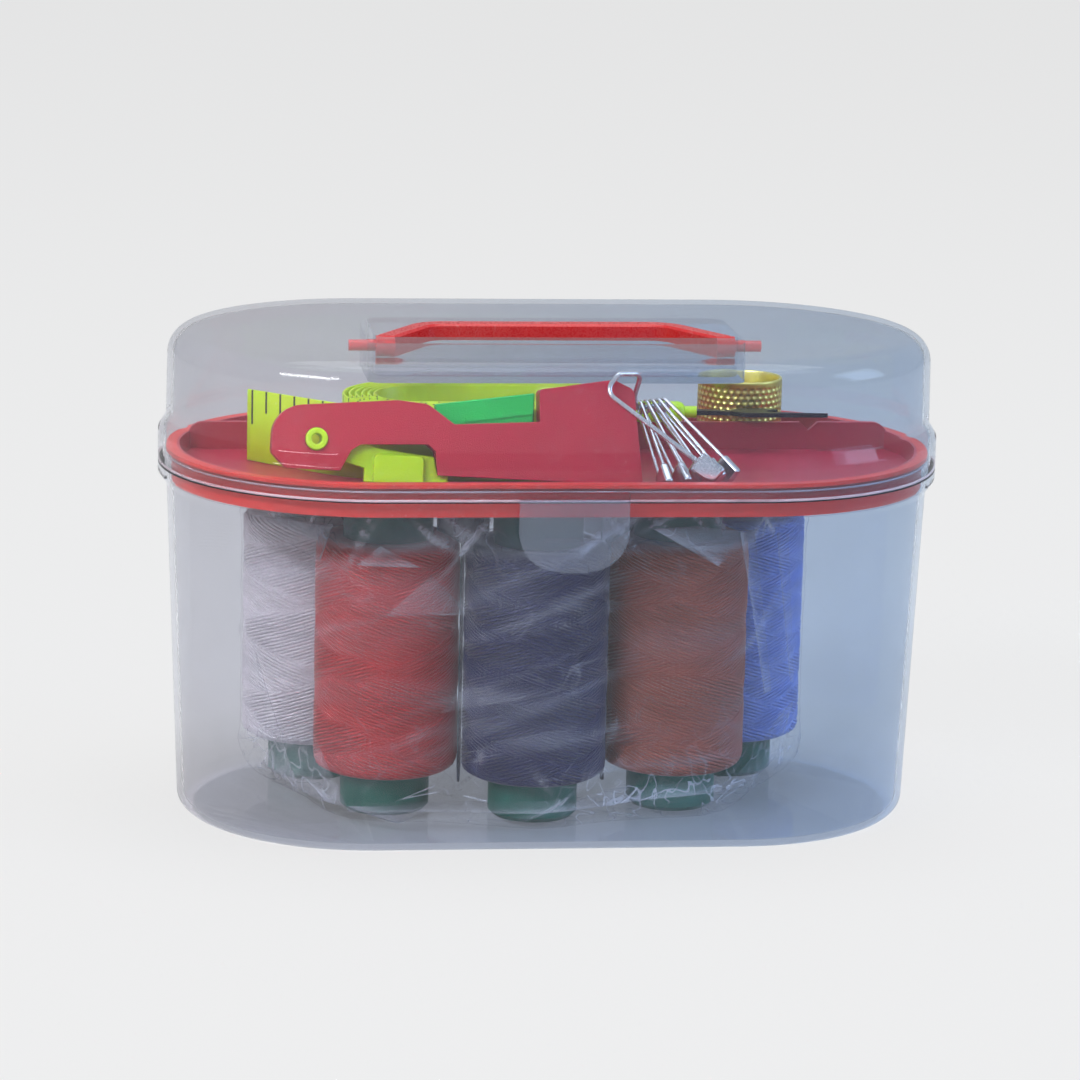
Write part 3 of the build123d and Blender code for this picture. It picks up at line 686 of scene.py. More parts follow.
# %% The guide's ledge
face_normal = Vector((0, -0.978, 0.208))
face_point = Vector((-5.6, -21.19, 79.31))
ledge_depth = (-0.1, 0.35)
ledge_corners = ((-17.4, 74.7), (-5.7, 76.0), (-5.7, 76.7), (-17.4, 75.4))
points = []
for depth in ledge_depth:
    for x, z in ledge_corners:
        y = face_point.y - (z - face_point.z) * face_normal.z / face_normal.y
        points.append(tuple(Vector((x, y, z)) + face_normal * depth))
faces = [(0, 1, 2, 3), (4, 5, 6, 7)] + grid_faces(2, 4, closed=True)
settle(mesh_from("guide_ledge", points, faces, smooth=False), "tray", "green_plastic", guide_green)

# %% [markdown]
# ## Thread on the spools
# A spool is cross-wound: strands climb one way and come down the other, and where two bands
# cross, one lies on top. A bump map would look painted on at the edge of the spool, so each
# strand is a real tube. Geometry Nodes fit this, since one helix is repeated round the spool
# and lifted or lowered by a rule. The rule is two waves along the two winding directions.

# %% The winding's tree
helix_points, strand_sides = 40, 5
wander_scale = 70.0
wander_size = 2.4
crossing_steepness = 5.0
flat_share = (1.0, 1.0, 0.0)
winding, given, result = new_tree(
    "cross_winding", "GeometryNodeTree",
    [
        ("Centre", "Vector", (0.0, 0.0, 0.0)),
        ("Radius", "Float", 0.0125),
        ("Height", "Float", 0.041),
        ("Turns", "Float", 1.55),
        ("Strands", "Int", 42),
        ("Strand Radius", "Float", 0.0003),
        ("Lift", "Float", 0.00015),
        ("Shoulder", "Float", 0.0015),
        ("Bands", "Int", 1),
        ("Seed", "Float", 0.0),
        ("Material", "Material", None),
    ],
    [("Geometry", "Geometry")],
)


def reckon(operation, *values, clamp=False):
    """One Math node's result in the winding's tree."""
    return maths(winding, operation, *values, clamp=clamp)


def vector_maths(operation, *inputs, **named):
    """One Vector Math node's result in the winding's tree."""
    made = {**dict(enumerate(inputs)), **named}
    return put(winding, "ShaderNodeVectorMath", made, operation=operation).outputs[0]


# %% One direction of the winding
def wound(direction):
    """All the strands that run one way round the spool, as tubes."""
    helix = put(winding, "GeometryNodeCurveSpiral", {
        "Resolution": helix_points, "Rotations": given["Turns"], "Start Radius": given["Radius"],
        "End Radius": given["Radius"], "Height": given["Height"], "Reverse": direction < 0,
    })
    starts = put(winding, "GeometryNodePoints", {"Count": given["Strands"]})
    number = put(winding, "GeometryNodeInputIndex").outputs[0]
    angle = reckon("DIVIDE", reckon("MULTIPLY", number, whole_turn), given["Strands"])
    turn = put(winding, "ShaderNodeCombineXYZ", {"Z": angle})
    copies = put(winding, "GeometryNodeInstanceOnPoints", {
        "Points": starts.outputs[0], "Instance": helix.outputs[0], "Rotation": turn.outputs[0],
    })
    strands = put(winding, "GeometryNodeRealizeInstances", {0: copies.outputs[0]})
    point = put(winding, "GeometryNodeInputPosition").outputs[0]
    parts = axes(winding, point)
    around = reckon("ARCTAN2", parts["Y"], parts["X"])
    climb = reckon("DIVIDE", reckon("MULTIPLY", given["Turns"], whole_turn), given["Height"])
    rise = reckon("MULTIPLY", parts["Z"], climb)
    wander = put(winding, "ShaderNodeTexNoise", {
        "Vector": point, "W": given["Seed"], "Scale": wander_scale,
    }, noise_dimensions="4D")
    drift = reckon("MULTIPLY_ADD", wander.outputs[0], wander_size, given["Seed"])
    waves = []
    for way in (1, -1):
        phase = reckon("MULTIPLY_ADD", rise, way, reckon("ADD", around, drift))
        waves.append(reckon("SINE", reckon("MULTIPLY", phase, given["Bands"])))
    crossing = reckon("MULTIPLY", reckon("MULTIPLY", *waves), crossing_steepness * direction)
    crossing = reckon("MAXIMUM", reckon("MINIMUM", crossing, 1.0), -1.0)
    to_end = reckon("MINIMUM", parts["Z"], reckon("SUBTRACT", given["Height"], parts["Z"]))
    near = reckon("SUBTRACT", 1.0, reckon("DIVIDE", to_end, given["Shoulder"]), clamp=True)
    arc = reckon("SQRT", reckon("SUBTRACT", 1.0, reckon("MULTIPLY", near, near)))
    drop = reckon("MULTIPLY", reckon("SUBTRACT", 1.0, arc), given["Shoulder"])
    raised = reckon("SUBTRACT", reckon("MULTIPLY", crossing, given["Lift"]), drop)
    outward = vector_maths("NORMALIZE", vector_maths("MULTIPLY", point, flat_share))
    laid = put(winding, "GeometryNodeSetPosition", {
        "Geometry": strands.outputs[0], "Offset": vector_maths("SCALE", outward, Scale=raised),
    })
    section = put(winding, "GeometryNodeCurvePrimitiveCircle", {
        "Resolution": strand_sides, "Radius": given["Strand Radius"],
    })
    return put(winding, "GeometryNodeCurveToMesh", {
        "Curve": laid.outputs[0], "Profile Curve": section.outputs[0], "Fill Caps": True,
    }).outputs[0]


joined = put(winding, "GeometryNodeJoinGeometry")
for direction in (1, -1):
    winding.links.new(wound(direction), joined.inputs[0])
moved = put(winding, "GeometryNodeTransform", {
    "Geometry": joined.outputs[0], "Translation": given["Centre"],
})
smooth = put(winding, "GeometryNodeSetShadeSmooth", {"Geometry": moved.outputs[0]})
plain = put(winding, "GeometryNodeRealizeInstances", {"Geometry": smooth.outputs[0]})
painted = put(winding, "GeometryNodeSetMaterial", {
    "Geometry": plain.outputs[0], "Material": given["Material"],
})
winding.links.new(painted.outputs[0], result["Geometry"])


# %% Grow a tree into a mesh
def grown(name, group, values):
    """Runs a tree on an empty mesh with its inputs set, and keeps the result as a plain mesh."""
    obj = add_object(name, bpy.data.meshes.new(name))
    modifier = obj.modifiers.new("grow", "NODES")
    modifier.node_group = group
    for item in group.interface.items_tree:
        if item.item_type == "SOCKET" and item.in_out == "INPUT" and item.name in values:
            modifier[item.identifier] = values[item.name]
    return freeze(obj)


# %% [markdown]
# Sewing thread is spun polyester: matt, with a soft sheen and fine fuzz. Its colour shifts a
# little from strand to strand. The drum under the strands fills the gaps between them.


# %% Thread finish
fibre_scale = 1400.0
strand_scale = 160.0
darken, lighten = 0.8, 1.12


def thread_finish(name, colour):
    """Spun thread: colour that changes from strand to strand, with a fine fibre grain."""
    material, tree = new_material(name)
    fibres = stretched(tree, own_place(tree), (1.0, 1.0, 4.0))
    fuzz = noise(tree, fibres, fibre_scale, 3.0)
    patches = noise(tree, fibres, strand_scale)
    share = maths(tree, "MULTIPLY_ADD", fuzz, 0.6, times(tree, patches, 0.5))
    darker = tuple(c * darken for c in colour[:3]) + (1.0,)
    lighter = tuple(min(1.0, c * lighten + 0.005) for c in colour[:3]) + (1.0,)
    return ended(material, principled(
        tree, Base_Color=blend_colours(tree, spread(tree, share, 0.3, 0.8), darker, lighter),
        Roughness=maths(tree, "MULTIPLY_ADD", patches, 0.2, 0.55),
        Normal=relief(tree, fuzz, 0.02, 0.8), Sheen_Weight=0.3, Sheen_Roughness=0.4,
    ))


# %% Five spools of thread
thread_bottom = 9.1
thread_length = 42.2
thread_outer = 13.0
thread_bore = 8.05
strand = 0.3
lift = 0.15
drum_gap = 0.2
shoulder_round = 1.4
shoulder_steps = 5
spools = {
    "white": ((-40.8, 17.2), rgb(206, 202, 211), 1, 0.4),
    "red": ((-29.26, -6.99), rgb(172, 26, 34), 1, 2.1),
    "navy": ((-3.05, -12.56), rgb(6, 15, 74), 2, 4.0),
    "brown": ((22.95, -6.08), rgb(146, 69, 53), 1, 5.2),
    "blue": ((37.15, 16.65), rgb(116, 140, 212), 2, 1.2),
}


def drum(centre, radius, columns=72):
    """The filled body under the strands: a turned ring with soft shoulders."""
    profile = [(thread_bore, thread_bottom), (radius - shoulder_round, thread_bottom)]
    for step in range(1, shoulder_steps + 1):
        bend = math.radians(90 / shoulder_steps * step)
        profile.append((radius - shoulder_round * (1 - math.sin(bend)),
                        thread_bottom + shoulder_round * (1 - math.cos(bend))))
    top = thread_bottom + thread_length
    profile += [(r, thread_bottom + top - z) for r, z in reversed(profile)]
    points = [point for r, z in profile for point in circle(centre, r, z, columns)]
    return points, grid_faces(len(profile), columns, closed=True, joined=True)


for colour, (centre, tone, bands, seed) in spools.items():
    finish = thread_finish(f"thread_{colour}", tone)
    line_radius = thread_outer - strand - lift
    strands = grown(f"{colour}_strands", winding, {
        "Centre": (centre[0] * mm, centre[1] * mm, (thread_bottom + strand) * mm),
        "Radius": line_radius * mm,
        "Height": (thread_length - 2 * strand) * mm,
        "Strand Radius": strand * mm,
        "Lift": lift * mm,
        "Bands": bands,
        "Seed": seed,
        "Material": finish,
    })
    fill = mesh_from(f"{colour}_drum", *drum(centre, line_radius - drum_gap))
    settle(strands, "box", f"thread_{colour}", finish, f"{colour}_thread")
    settle(fill, "box", f"thread_{colour}", finish)

# %% [markdown]
# ## The film bag
# The spools come packed in a bag of thin clear film. It is stretched round the outside of the
# row and creased on the slant, with crumpled corners where it is folded under. The bag is one
# closed sheet: an outline round the row of spools is carried from bottom to top, and creases
# push it outwards, never in, so it stays clear of the thread.

# %% The outline round the row of spools
row = [Vector(centre) for centre, *_ in spools.values()]
corner_softness = 1.6
outline_step = 0.8
farthest = 60.0
halvings = 40
end_fan = 52
spool_radius = 13


def distance_to_row(point):
    """Distance from a point to the line through the spools' middles, with inner corners filled."""
    total = 0.0
    for start, end in zip(row, row[1:]):
        along = end - start
        share = max(0.0, min(1.0, (point - start).dot(along) / along.length_squared))
        total += math.exp(-(point - start - along * share).length / corner_softness)
    return -corner_softness * math.log(total)


def outline_point(base, way, reach):
    """Walks from the row outwards until it is as far away as wanted."""
    near, far = 0.0, farthest
    for _ in range(halvings):
        middle = (near + far) / 2
        if distance_to_row(base + way * middle) < reach:
            near = middle
        else:
            far = middle
    return base + way * near


def angle_of(way):
    """A direction's angle."""
    return math.atan2(way.y, way.x)


def directions():
    """Starting points and directions once round the row: front, right end, back, left end."""
    made = []
    normals = []
    for start, end in zip(row, row[1:]):
        along = (end - start).normalized()
        normals.append(Vector((along.y, -along.x)))

    def fan(centre, first, last, count):
        for number in range(count):
            angle = first + (last - first) * number / count
            made.append((centre, Vector((math.cos(angle), math.sin(angle)))))

    for index, (start, end) in enumerate(zip(row, row[1:])):
        count = int((end - start).length / outline_step)
        made.extend((start + (end - start) * (n / count), normals[index]) for n in range(count))
        if index + 1 < len(normals):
            first, last = angle_of(normals[index]), angle_of(normals[index + 1])
            fan(end, first, last, max(3, int(abs(last - first) * spool_radius / outline_step)))
    angle = angle_of(normals[-1])
    fan(row[-1], angle, angle + math.pi, end_fan)
    for index in range(len(row) - 2, -1, -1):
        start, end = row[index + 1], row[index]
        count = int((end - start).length / outline_step)
        first = (-normals[min(index + 1, len(normals) - 1)] - normals[index]).normalized()
        last = (-normals[index] - normals[max(index - 1, 0)]).normalized()
        for n in range(count):
            way = (first * (1 - n / count) + last * (n / count)).normalized()
            made.append((start + (end - start) * (n / count), way))
    angle = angle_of(-normals[0])
    fan(row[0], angle, angle + math.pi, end_fan)
    return made


around_row = directions()
print("points round the bag:", len(around_row))

# %% [markdown]
# The film stands widest off the row at mid height and draws in at the top and bottom. The
# outline is worked out at four distances, and any other is found between them.

# %% Rows of the bag
bag_low, bag_high = 1.4, 59.6
bag_corner = 5.5
corner_fullness = 0.6
levels = [9.6, 11.0, 12.2, 13.32]
end_reach, wide_reach = levels[0], levels[-1]
bag_rows = 92
eased_share = 0.35
columns = len(around_row)


def bag_reach(height):
    """How far the film stands off the row's middle line at a height."""
    to_end = min(height - bag_low, bag_high - height)
    share = min(1.0, max(0.0, to_end / bag_corner))
    return end_reach + (wide_reach - end_reach) * math.sin(share * math.pi / 2) ** corner_fullness


heights = []
for number in range(bag_rows):
    even = number / (bag_rows - 1)
    eased = 0.5 - 0.5 * math.cos(math.pi * even)
    share = eased * eased_share + even * (1 - eased_share)
    heights.append(bag_low + (bag_high - bag_low) * share)
rings = {level: [outline_point(base, way, level) for base, way in around_row] for level in levels}


def ring_at(reach, column):
    """A point of the outline at any reach, between the outlines worked out above."""
    for low, high in zip(levels, levels[1:]):
        if reach <= high + 1e-6:
            share = (reach - low) / (high - low)
            return rings[low][column].lerp(rings[high][column], share)
    return rings[wide_reach][column]


# %% [markdown]
# Creases are long soft ridges that run on the slant, as the film is pulled when it is twisted
# shut, and short sharp ones near the corners. Each ridge is a narrow hill along a line. The
# height of the hills is kept as an attribute, because a crease also looks whiter.

# %% Creases on the unrolled film
bag_random = random.Random(11)
long_creases, short_creases = 46, 110
highest_crease = 0.75
crease_sharpness = 1.6
widest = rings[wide_reach]
travel = [0.0]
for first, second in zip(widest, widest[1:]):
    travel.append(travel[-1] + (second - first).length)
girth = travel[-1] + (widest[0] - widest[-1]).length

draw = bag_random.uniform
ridges = []
for _ in range(long_creases):
    ridges.append((draw(0, girth), draw(6, 56), bag_random.gauss(0.3, 0.12),
                   draw(14, 34), draw(1.2, 3.2), draw(0.15, 0.4)))
for _ in range(short_creases):
    high = bag_random.random() < 0.5
    ridges.append((draw(0, girth), draw(50, 59) if high else draw(2, 11),
                   bag_random.choice((-1, 1)) * draw(0.4, 1.2),
                   draw(3, 8), draw(0.5, 1.1), draw(0.25, 0.6)))
places, middles, slants, lengths, widths, tops = np.array(ridges).T


def crease_height(along, height):
    """Height of the creases at a place on the unrolled film."""
    sideways = (along - places + girth / 2) % girth - girth / 2
    upwards = height - middles
    on = sideways * np.cos(slants) + upwards * np.sin(slants)
    off = -sideways * np.sin(slants) + upwards * np.cos(slants)
    across_it = np.clip(1 - np.abs(off) / widths, 0, 1) ** crease_sharpness
    hill = across_it * np.exp(-(on / lengths) ** 2)
    return float(np.minimum((hill * tops).sum(), highest_crease))


# %% The creased bag
end_rows = 5
end_haze = 0.1
end_ripple = 0.12
ripple_turn = 0.9
end_shift = -6
points, haze = [], []
for height in heights:
    reach = bag_reach(height)
    for column, (base, way) in enumerate(around_row):
        flat = ring_at(reach, column)
        crease = crease_height(travel[column], height)
        moved = flat + (flat - base).normalized() * crease
        points.append((moved.x, moved.y, height))
        haze.append(crease)
faces = grid_faces(bag_rows, columns, closed=True)
for end, height in ((0, bag_low), (bag_rows - 1, bag_high)):
    previous = end * columns
    for inward in range(1, end_rows):
        start = len(points)
        for column, (base, way) in enumerate(around_row):
            moved = ring_at(end_reach, column).lerp(base, inward / end_rows)
            ripple = end_ripple * math.sin(column * ripple_turn + inward) * (1 if end else 0)
            points.append((moved.x, moved.y, height + ripple))
            haze.append(end_haze)
        for c in range(columns):
            after = (c + 1) % columns
            faces.append((previous + c, previous + after, start + after, start + c))
        previous = start
    faces += [(previous + c, previous + (c + 1) % columns, len(points)) for c in range(columns)]
    centre = sum(row, Vector((0, 0))) / len(row)
    points.append((centre.x, centre.y + end_shift, height))
    haze.append(end_haze)
film = mesh_from("spool_bag_film", points, faces)
keep_values(film, "crease", haze)

# %% [markdown]
# Where the bag is gathered, the film lies double in flat triangles with one sharp edge, and long
# narrow bands run on the slant across the spools. Each one is a small sheet just outside the
# bag. It is given by its whiteness and its corners along the box and upwards, and its first
# side is the fold.

# %% Folds that lie on the bag
film_folds = {
    "shoulder_left": (0.35, (-55, 50), (-42, 48.5), (-40, 55.7), (-52, 52)),
    "facet_on_red": (0.2, (-31, 40), (-23, 47.6), (-16, 40.7), (-16, 40.7)),
    "tuck_on_red": (0.5, (-36, 49), (-25, 49), (-32, 52.7), (-32, 52.7)),
    "high_band": (0.15, (-19, 34.2), (11, 41.8), (11, 45.8), (-19, 38.8)),
    "middle_band": (0.18, (-21, 22.9), (14, 31.3), (14, 35.7), (-18, 27)),
    "low_band": (0.14, (-19, 13.3), (15, 21), (15, 24.7), (-18, 17)),
    "sash": (0.36, (16, 55.8), (28, 48.6), (36, 54.1), (24, 56)),
    "sash_tip": (0.5, (23, 52.5), (28, 48.6), (31, 52.8), (31, 52.8)),
    "right_pleat": (0.4, (32, 54.4), (39, 22.5), (41, 22), (35, 53.9)),
    "far_pleat": (0.35, (41, 51.3), (46, 21.5), (47, 20.8), (44, 50.3)),
    "left_pleat": (0.35, (-52, 27), (-45, 5), (-49, 3.8), (-51, 19.3)),
    "left_corner": (0.35, (-51, 6.6), (-37, 5.1), (-45, 21.5), (-45, 21.5)),
    "pulled_point": (0.6, (-37, 5.4), (-28, 2.2), (-20, 6.9), (-20, 6.9)),
    "hem": (0.5, (-37, 4.4), (30, 7.4), (30, 10.2), (-37, 6.2)),
    "right_corner": (0.3, (30, 7.5), (43, 9.2), (47, 18.2), (38, 14)),
    # The three glint slivers are painted highlights: small near-white sheets on the film.
    "first_painted_glint": (1.0, (-29, 6.8), (-22, 9.8), (-22, 10.2), (-28.6, 7.0)),
    "second_painted_glint": (1.0, (-27.5, 7.4), (-21.5, 8.8), (-21.5, 9.1), (-27.4, 7.7)),
    "third_painted_glint": (1.0, (-17, 8.4), (-13, 7.6), (-12.8, 8.1), (-16.8, 8.7)),
}
fold_steps = 12
fold_margin = 12
first_gap, gap_step = 0.85, 0.12
film_thickness = 0.06


def on_film(along, height, stand_off):
    """A point on the front of the bag, held off its creases."""
    along = max(row[0].x - fold_margin, min(row[-1].x + fold_margin, along))
    base_y = row[0].y if along < row[0].x else row[-1].y
    for start, end in zip(row, row[1:]):
        if start.x <= along <= end.x:
            base_y = start.lerp(end, (along - start.x) / (end.x - start.x)).y
    reach = bag_reach(height) + stand_off
    return outline_point(Vector((along, base_y)), Vector((0, -1)), reach)


points, faces, whiteness = [], [], []
for number, (strength, *corners) in enumerate(film_folds.values()):
    low_left, low_right, high_right, high_left = (Vector(corner) for corner in corners)
    faces += grid_faces(fold_steps + 1, fold_steps + 1, first=len(points))
    for step_up in range(fold_steps + 1):
        up = step_up / fold_steps
        for step_along in range(fold_steps + 1):
            along = step_along / fold_steps
            flat = low_left.lerp(low_right, along).lerp(high_left.lerp(high_right, along), up)
            spot = on_film(flat.x, flat.y, first_gap + gap_step * number)
            points.append((spot.x, spot.y, flat.y))
            whiteness.append(strength * (0.3 + 0.7 * (1 - up) ** 3))
folds = mesh_from("film_folds", points, faces)
keep_values(folds, "crease", whiteness)
reworked(folds.data, merge_doubles)
thick = folds.modifiers.new("film", "SOLIDIFY")
thick.thickness = film_thickness * mm
thick.offset = 0
freeze(folds)

# %% [markdown]
# Film this thin hardly bends light, so it needs no glass. It is see-through, with a faint grey
# haze that is stronger along creases, and a gloss that shows where the film is folded. Fine
# white crease lines wander over it, most of all at the gathered top and the tucked-in foot. At
# the top a painted shade darkens it and makes it less clear, and seen edge-on it looks whiter.

# %% Film finish
film_slant, film_stretch = (0, 0.3, 0), (0.5, 0.5, 2.2)
gathered_from, tucked_below = (50.5 * mm, 53 * mm), (4 * mm, 16 * mm)
crease_sheets = ((70.0, 1.4), (150.0, 0.8))
crease_width = 0.014
patch_scale, haze_scale, wrinkle_scale = 45.0, 60.0, 260.0
# The last haze and the second grey are a painted shade at the gathered top.
plain_haze, fold_haze, edge_haze, painted_shade_haze = 0.06, 0.55, 0.4, 0.3
film_grey, painted_shade_grey = rgb(206, 210, 222), rgb(74, 88, 108)
bag_film, tree = new_material("bag_film")
crease = kept_value(tree, "crease")
place = own_place(tree)
slanted = stretched(tree, place, film_stretch, film_slant)
height = axes(tree, place)["Z"]
gathered = spread(tree, height, *gathered_from)
tucked = spread(tree, height, *tucked_below, 1.0, 0.0)
facing = put(tree, "ShaderNodeLayerWeight", {"Blend": 0.5}).outputs["Facing"]
crease_line = highest(tree, *(
    contour(tree, noise(tree, place, scale, 1.0, distortion), 0.0, crease_width)
    for scale, distortion in crease_sheets
))
worked = highest(tree, tucked, times(tree, gathered, 0.6))
amount = times(tree, spread(tree, noise(tree, place, patch_scale, 1.0), 0.4, 0.6),
               maths(tree, "MULTIPLY_ADD", worked, 0.5, 0.1))
alpha = spread(tree, noise(tree, slanted, haze_scale), 0.42, 0.65, 0.0, plain_haze)
for layer in (
    spread(tree, crease, 0.05, 1.0, 0.0, fold_haze),
    times(tree, crease_line, amount),
    spread(tree, facing, 0.8, 1.0, 0.0, edge_haze),
    times(tree, gathered, painted_shade_haze),
):
    alpha = maths(tree, "ADD", alpha, layer, clamp=True)
# Painted shade: the gathered top turns a dark grey-blue, less where it is creased.
painted_shade_share = times(tree, gathered, spread(tree, crease, 0.0, 0.3, 1.0, 0.0))
wrinkles = noise(tree, slanted, wrinkle_scale, 3.0)
ended(bag_film, principled(
    tree, Base_Color=blend_colours(tree, painted_shade_share, film_grey, painted_shade_grey),
    Roughness=spread(tree, wrinkles, 0.2, 0.8, 0.05, 0.16), IOR=1.5,
    Alpha=alpha, Normal=relief(tree, wrinkles, 0.3, 0.6),
))
settle(film, "box", "bag_film", bag_film, "film_bag")
settle(folds, "box", "bag_film", bag_film)

# %% [markdown]
# Where two spools meet, the bag is pulled into the gap between them, and the shade in that gap
# is painted as a dark, nearly opaque sheet. Above the thread it spreads to the tubes on both sides.

# %% Painted shade between the spools
shade_patch_scale = 500.0
shade_patch_stretch = (1.0, 1.0, 0.2)
painted_shade_film, tree = new_material("painted_shade_film")
# Dark and nearly opaque: a painted shade in the gaps between the spools.
surface = use_group(tree, moulded, Colour=rgb(34, 40, 70), Roughness=0.3, Clouding=0.12,
                    Cloud_Size=4.0, Grain_Size=0.4, Dust=0.1)
shade_patches = noise(tree, stretched(tree, own_place(tree), shade_patch_stretch), shade_patch_scale)
ended(painted_shade_film, principled(
    tree, Base_Color=surface["Colour"], Roughness=surface["Roughness"],
    Normal=relief(tree, surface["Height"], 0.1),
    Alpha=spread(tree, shade_patches, 0.35, 0.65, 0.62, 0.85),
))

shade_sheet_depth = 0.5
shade_sheet_profile = ((6.5, 0.2), (9.5, 0.32), (50.4, 0.32), (51.8, 2.6), (52.6, 4.6), (59.3, 4.9))
points, faces = [], []
for first, second in zip(row, row[1:]):
    middle = (first + second) / 2
    along = (second - first).normalized()
    through = Vector((-along.y, along.x)) * shade_sheet_depth
    start = len(points)
    for height, half in shade_sheet_profile:
        for side, depth in ((-1, -1), (1, -1), (1, 1), (-1, 1)):
            spot = middle + along * side * half + through * depth
            points.append((spot.x, spot.y, height))
    faces += grid_faces(len(shade_sheet_profile), 4, closed=True, first=start)
    faces += [tuple(range(start, start + 4)), tuple(range(len(points) - 4, len(points)))]
settle(mesh_from("painted_shade_between_spools", points, faces, smooth=False), "box", "bag_film",
       painted_shade_film)

# %% [markdown]
# ## The tape measure
# A sewing tape is a long coated strip. Here it lies on its edge in a flattened coil, and its
# free end springs out to the left. A curve with a flat profile would twist at the sharp turns,
# so the strip is built from its own middle line: points are set out at even steps along the
# straights and half turns, and a thin section is carried along them. The distance from the tip
# is kept as a UV map, and the printed marks follow it.

# %% The tape's middle line
tray_floor = 63.0
tape_place = (-13.4, -2.3)
tape_width = 13.0
tape_half = 0.24
tape_step = 1.0
inner_radius = 7.6
pitch = 1.1
turns = 6
straight = 10.4
tail_radius = 25.0
tail_angle = 42.0
tail_length = 18.0


def tape_line():
    """Points and headings from the coil's inside to the tip of the tail."""
    made = []

    def run(start, end):
        start, end = Vector(start), Vector(end)
        heading = (end - start).normalized()
        count = max(1, round((end - start).length / tape_step))
        made.extend((start.lerp(end, n / count), heading) for n in range(count))

    def bend(centre, radius, first, sweep):
        count = max(4, round(abs(math.radians(sweep)) * radius / tape_step))
        for n in range(count):
            angle = math.radians(first + sweep * n / count)
            out = Vector((math.cos(angle), math.sin(angle)))
            turned = Vector((-out.y, out.x)) * (1 if sweep > 0 else -1)
            made.append((Vector(centre) + out * radius, turned))

    for turn in range(turns + 1):
        front = inner_radius + turn * pitch
        behind = front + pitch / 2
        following = front + pitch
        run((straight, -front), (-straight, -front))
        if turn < turns:
            bend((-straight, (behind - front) / 2), (front + behind) / 2, 270, -180)
            run((-straight, behind), (straight, behind))
            bend((straight, (behind - following) / 2), (behind + following) / 2, 90, -180)
    outer = inner_radius + turns * pitch
    centre = Vector((-straight, tail_radius - outer))
    bend(centre, tail_radius, 270, -tail_angle)
    angle = math.radians(tail_angle)
    start = centre + Vector((-math.sin(angle), -math.cos(angle))) * tail_radius
    heading = Vector((-math.cos(angle), math.sin(angle)))
    run(start, start + heading * tail_length)
    made.append((start + heading * tail_length, heading))
    return made


line = tape_line()
reach_from_tip = [0.0]
for (first, _), (second, _) in reversed(list(zip(line, line[1:]))):
    reach_from_tip.append(reach_from_tip[-1] + (second - first).length)
reach_from_tip.reverse()
print("tape length, mm:", round(reach_from_tip[0]))

# %% The strip
edge = 0.12
map_size = 100
section = [
    (-tape_half, edge), (-tape_half + edge, 0), (tape_half - edge, 0), (tape_half, edge),
    (tape_half, tape_width - edge), (tape_half - edge, tape_width),
    (-tape_half + edge, tape_width), (-tape_half, tape_width - edge),
]
points = []
for point, heading in line:
    left = Vector((-heading.y, heading.x))
    for off, height in section:
        spot = point - left * off
        points.append((spot.x + tape_place[0], spot.y + tape_place[1], tray_floor + height))
count = len(section)
faces = grid_faces(len(line), count, closed=True)
faces += [tuple(range(count)), tuple(reversed(range(len(points) - count, len(points))))]
tape = mesh_from("wound_tape", points, faces)
unrolled = tape.data.uv_layers.new(name="unrolled")
for polygon in tape.data.polygons:
    for corner in polygon.loop_indices:
        vertex = tape.data.loops[corner].vertex_index
        side = 0.0 if section[vertex % count][0] < 0 else 1.0
        height = tape.data.vertices[vertex].co.z / mm - tray_floor
        reach = reach_from_tip[vertex // count]
        unrolled.data[corner].uv = (reach / map_size, height / map_size + side)

# %% [markdown]
# The tape is yellow-green with short black marks along its upper edge, every eighth of an inch,
# and a longer one at the start of each inch. The marks are printed on the outer side only.

# %% Tape finish
mark_step = 3.175
first_mark = 1.1
mark_length, longer_by = 3.9, 2.3
mark_edge = (0.17, 0.25)
ink_grain = 400.0
ink_colour = (0.01, 0.012, 0.014, 1.0)
tape_green, tree = new_material("tape_yellow_green")
surface = use_group(tree, moulded, Colour=rgb(184, 216, 20), Roughness=0.42, Clouding=0.07,
                    Cloud_Size=5.0, Grain_Size=0.3, Dust=0.3)
unroll = put(tree, "ShaderNodeUVMap", uv_map="unrolled").outputs[0]
parts = axes(tree, unroll)
distance = maths(tree, "MULTIPLY_ADD", parts["X"], float(map_size), -first_mark + mark_step / 2)
marks = maths(tree, "DIVIDE", distance, mark_step)
off = maths(tree, "ABSOLUTE", maths(tree, "SUBTRACT", maths(tree, "FRACT", marks), 0.5))
thin = spread(tree, times(tree, off, mark_step), *mark_edge, 1.0, 0.0)
eighth = maths(tree, "MODULO", maths(tree, "FLOOR", marks), 8.0)
long_mark = maths(tree, "LESS_THAN", maths(tree, "ABSOLUTE", eighth), 0.5)
mark_foot = maths(tree, "MULTIPLY_ADD", long_mark, -longer_by, tape_width - mark_length)
height = times(tree, parts["Y"], float(map_size))
above = maths(tree, "GREATER_THAN", height, mark_foot)
below = maths(tree, "LESS_THAN", height, tape_width + 1)
ink = times(tree, thin, times(tree, above, below))
ink = times(tree, ink, spread(tree, noise(tree, unroll, ink_grain), 0.2, 0.45, 0.75, 1.0))
ended(tape_green, principled(
    tree, Base_Color=blend_colours(tree, ink, surface["Colour"], ink_colour),
    Roughness=surface["Roughness"], Normal=relief(tree, surface["Height"], 0.04),
    Subsurface_Weight=0.2, Subsurface_Scale=1.0 * mm,
))
settle(tape, "tray", "tape_yellow_green", tape_green, "tape_measure")

# %% [markdown]
# ## The thimble
# A brass thimble is stamped with rows of small round pits, each row half a step along from the
# last, so that a needle's head can't slip. Pits in a bump map vanish at the edge, so the wall
# is a fine grid whose points are pushed in, and the rim and the inside are plain turned rows.

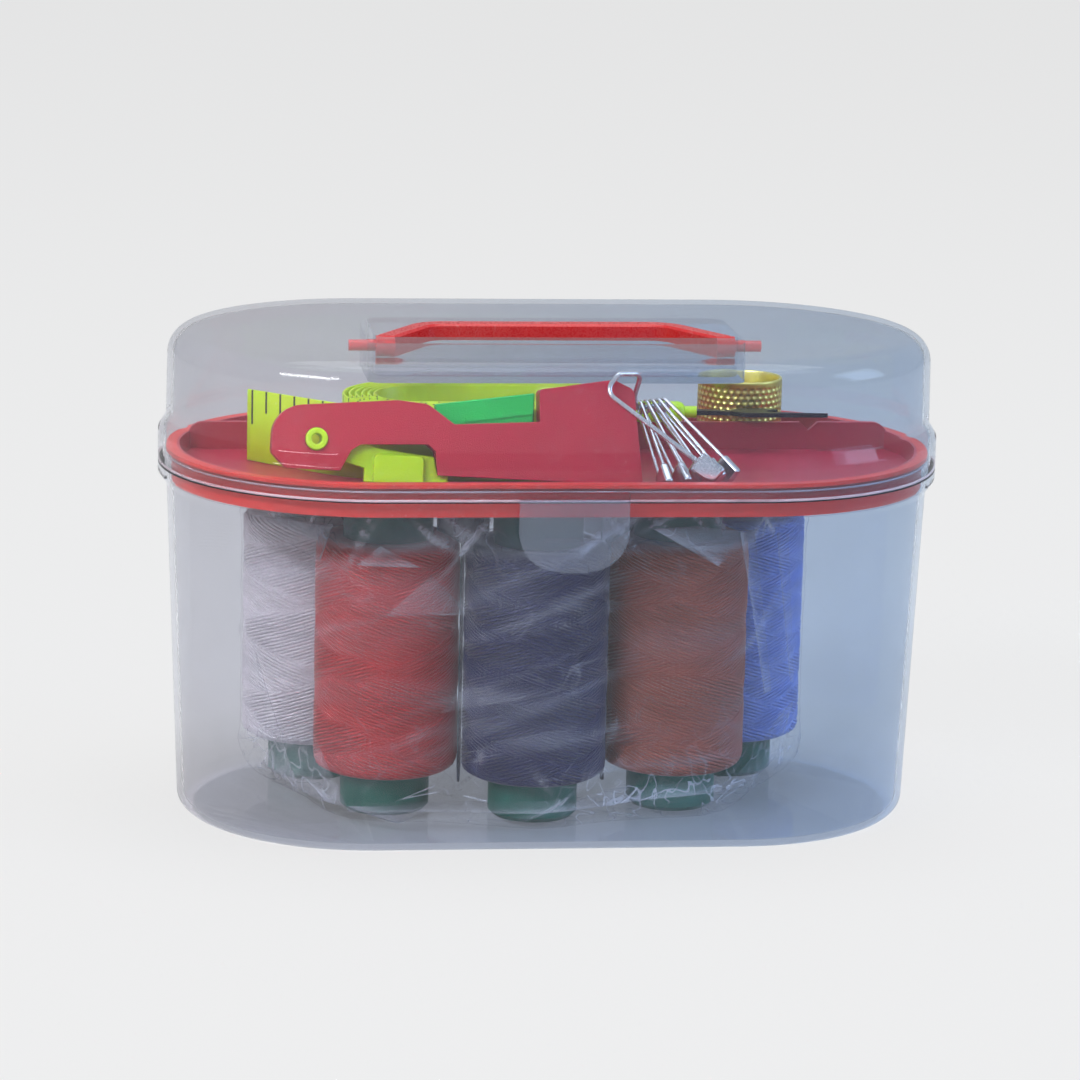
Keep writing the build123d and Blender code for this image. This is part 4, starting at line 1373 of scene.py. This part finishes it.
# %% The dimpled thimble
thimble_place = (38.2, 22.2)
thimble_height = 12.0
pit_step, pit_rise, pit_radius, pit_depth = 1.25, 1.05, 0.44, 0.17
lowest_pits, last_pit_row = 2.0, 8
outer_low, outer_high = 7.83, 7.8
wall_foot, wall_margin = 1.3, 1.75
rim_rows = ((7.25, 0.15), (7.4, 0.0), (8.1, 0.0), (8.28, 0.2), (8.3, 0.55), (8.2, 0.95),
            (7.95, 1.15))
crown_rows = ((7.72, 11.85), (7.5, 12.0), (7.3, 11.9), (7.22, 11.6), (7.22, 6.0))
per_pit = 8
columns = round(whole_turn * outer_low / pit_step) * per_pit
wall_rows = 84


def pit_at(column, height):
    """How deep the wall is pushed in at a column and a height."""
    level = (height - lowest_pits) / pit_rise
    pit = 0.0
    for pit_row in (round(level) - 1, round(level), round(level) + 1):
        if 0 <= pit_row <= last_pit_row:
            around = column / per_pit - 0.5 * (pit_row % 2)
            sideways = (around - round(around)) * pit_step
            away = math.hypot(sideways, (level - pit_row) * pit_rise)
            if away < pit_radius:
                pit = max(pit, pit_depth * (1 - (away / pit_radius) ** 2))
    return pit


def plain_rows(rows):
    """Turned rows of points with no pits, given half the painted highlight."""
    for radius, height in rows:
        points.extend(circle(thimble_place, radius, tray_floor + height, columns))
        pit_highlights.extend([0.5] * columns)


points, pit_highlights = [], []
plain_rows(rim_rows)
for r in range(wall_rows):
    height = wall_foot + (thimble_height - wall_margin) * r / (wall_rows - 1)
    radius = outer_low + (outer_high - outer_low) * height / thimble_height
    for column in range(columns):
        angle = whole_turn * column / columns
        pit = pit_at(column, height)
        points.append((thimble_place[0] + (radius - pit) * math.cos(angle),
                       thimble_place[1] + (radius - pit) * math.sin(angle), tray_floor + height))
        # The pits get a painted highlight as strong as they are deep.
        pit_highlights.append(pit / pit_depth)
plain_rows(crown_rows)
faces = grid_faces(len(points) // columns, columns, closed=True, joined=True)
thimble = mesh_from("dimpled_thimble", points, faces)
keep_values(thimble, "pit_highlight", pit_highlights)
settle(thimble, "tray", "thimble_brass", brass, "thimble")
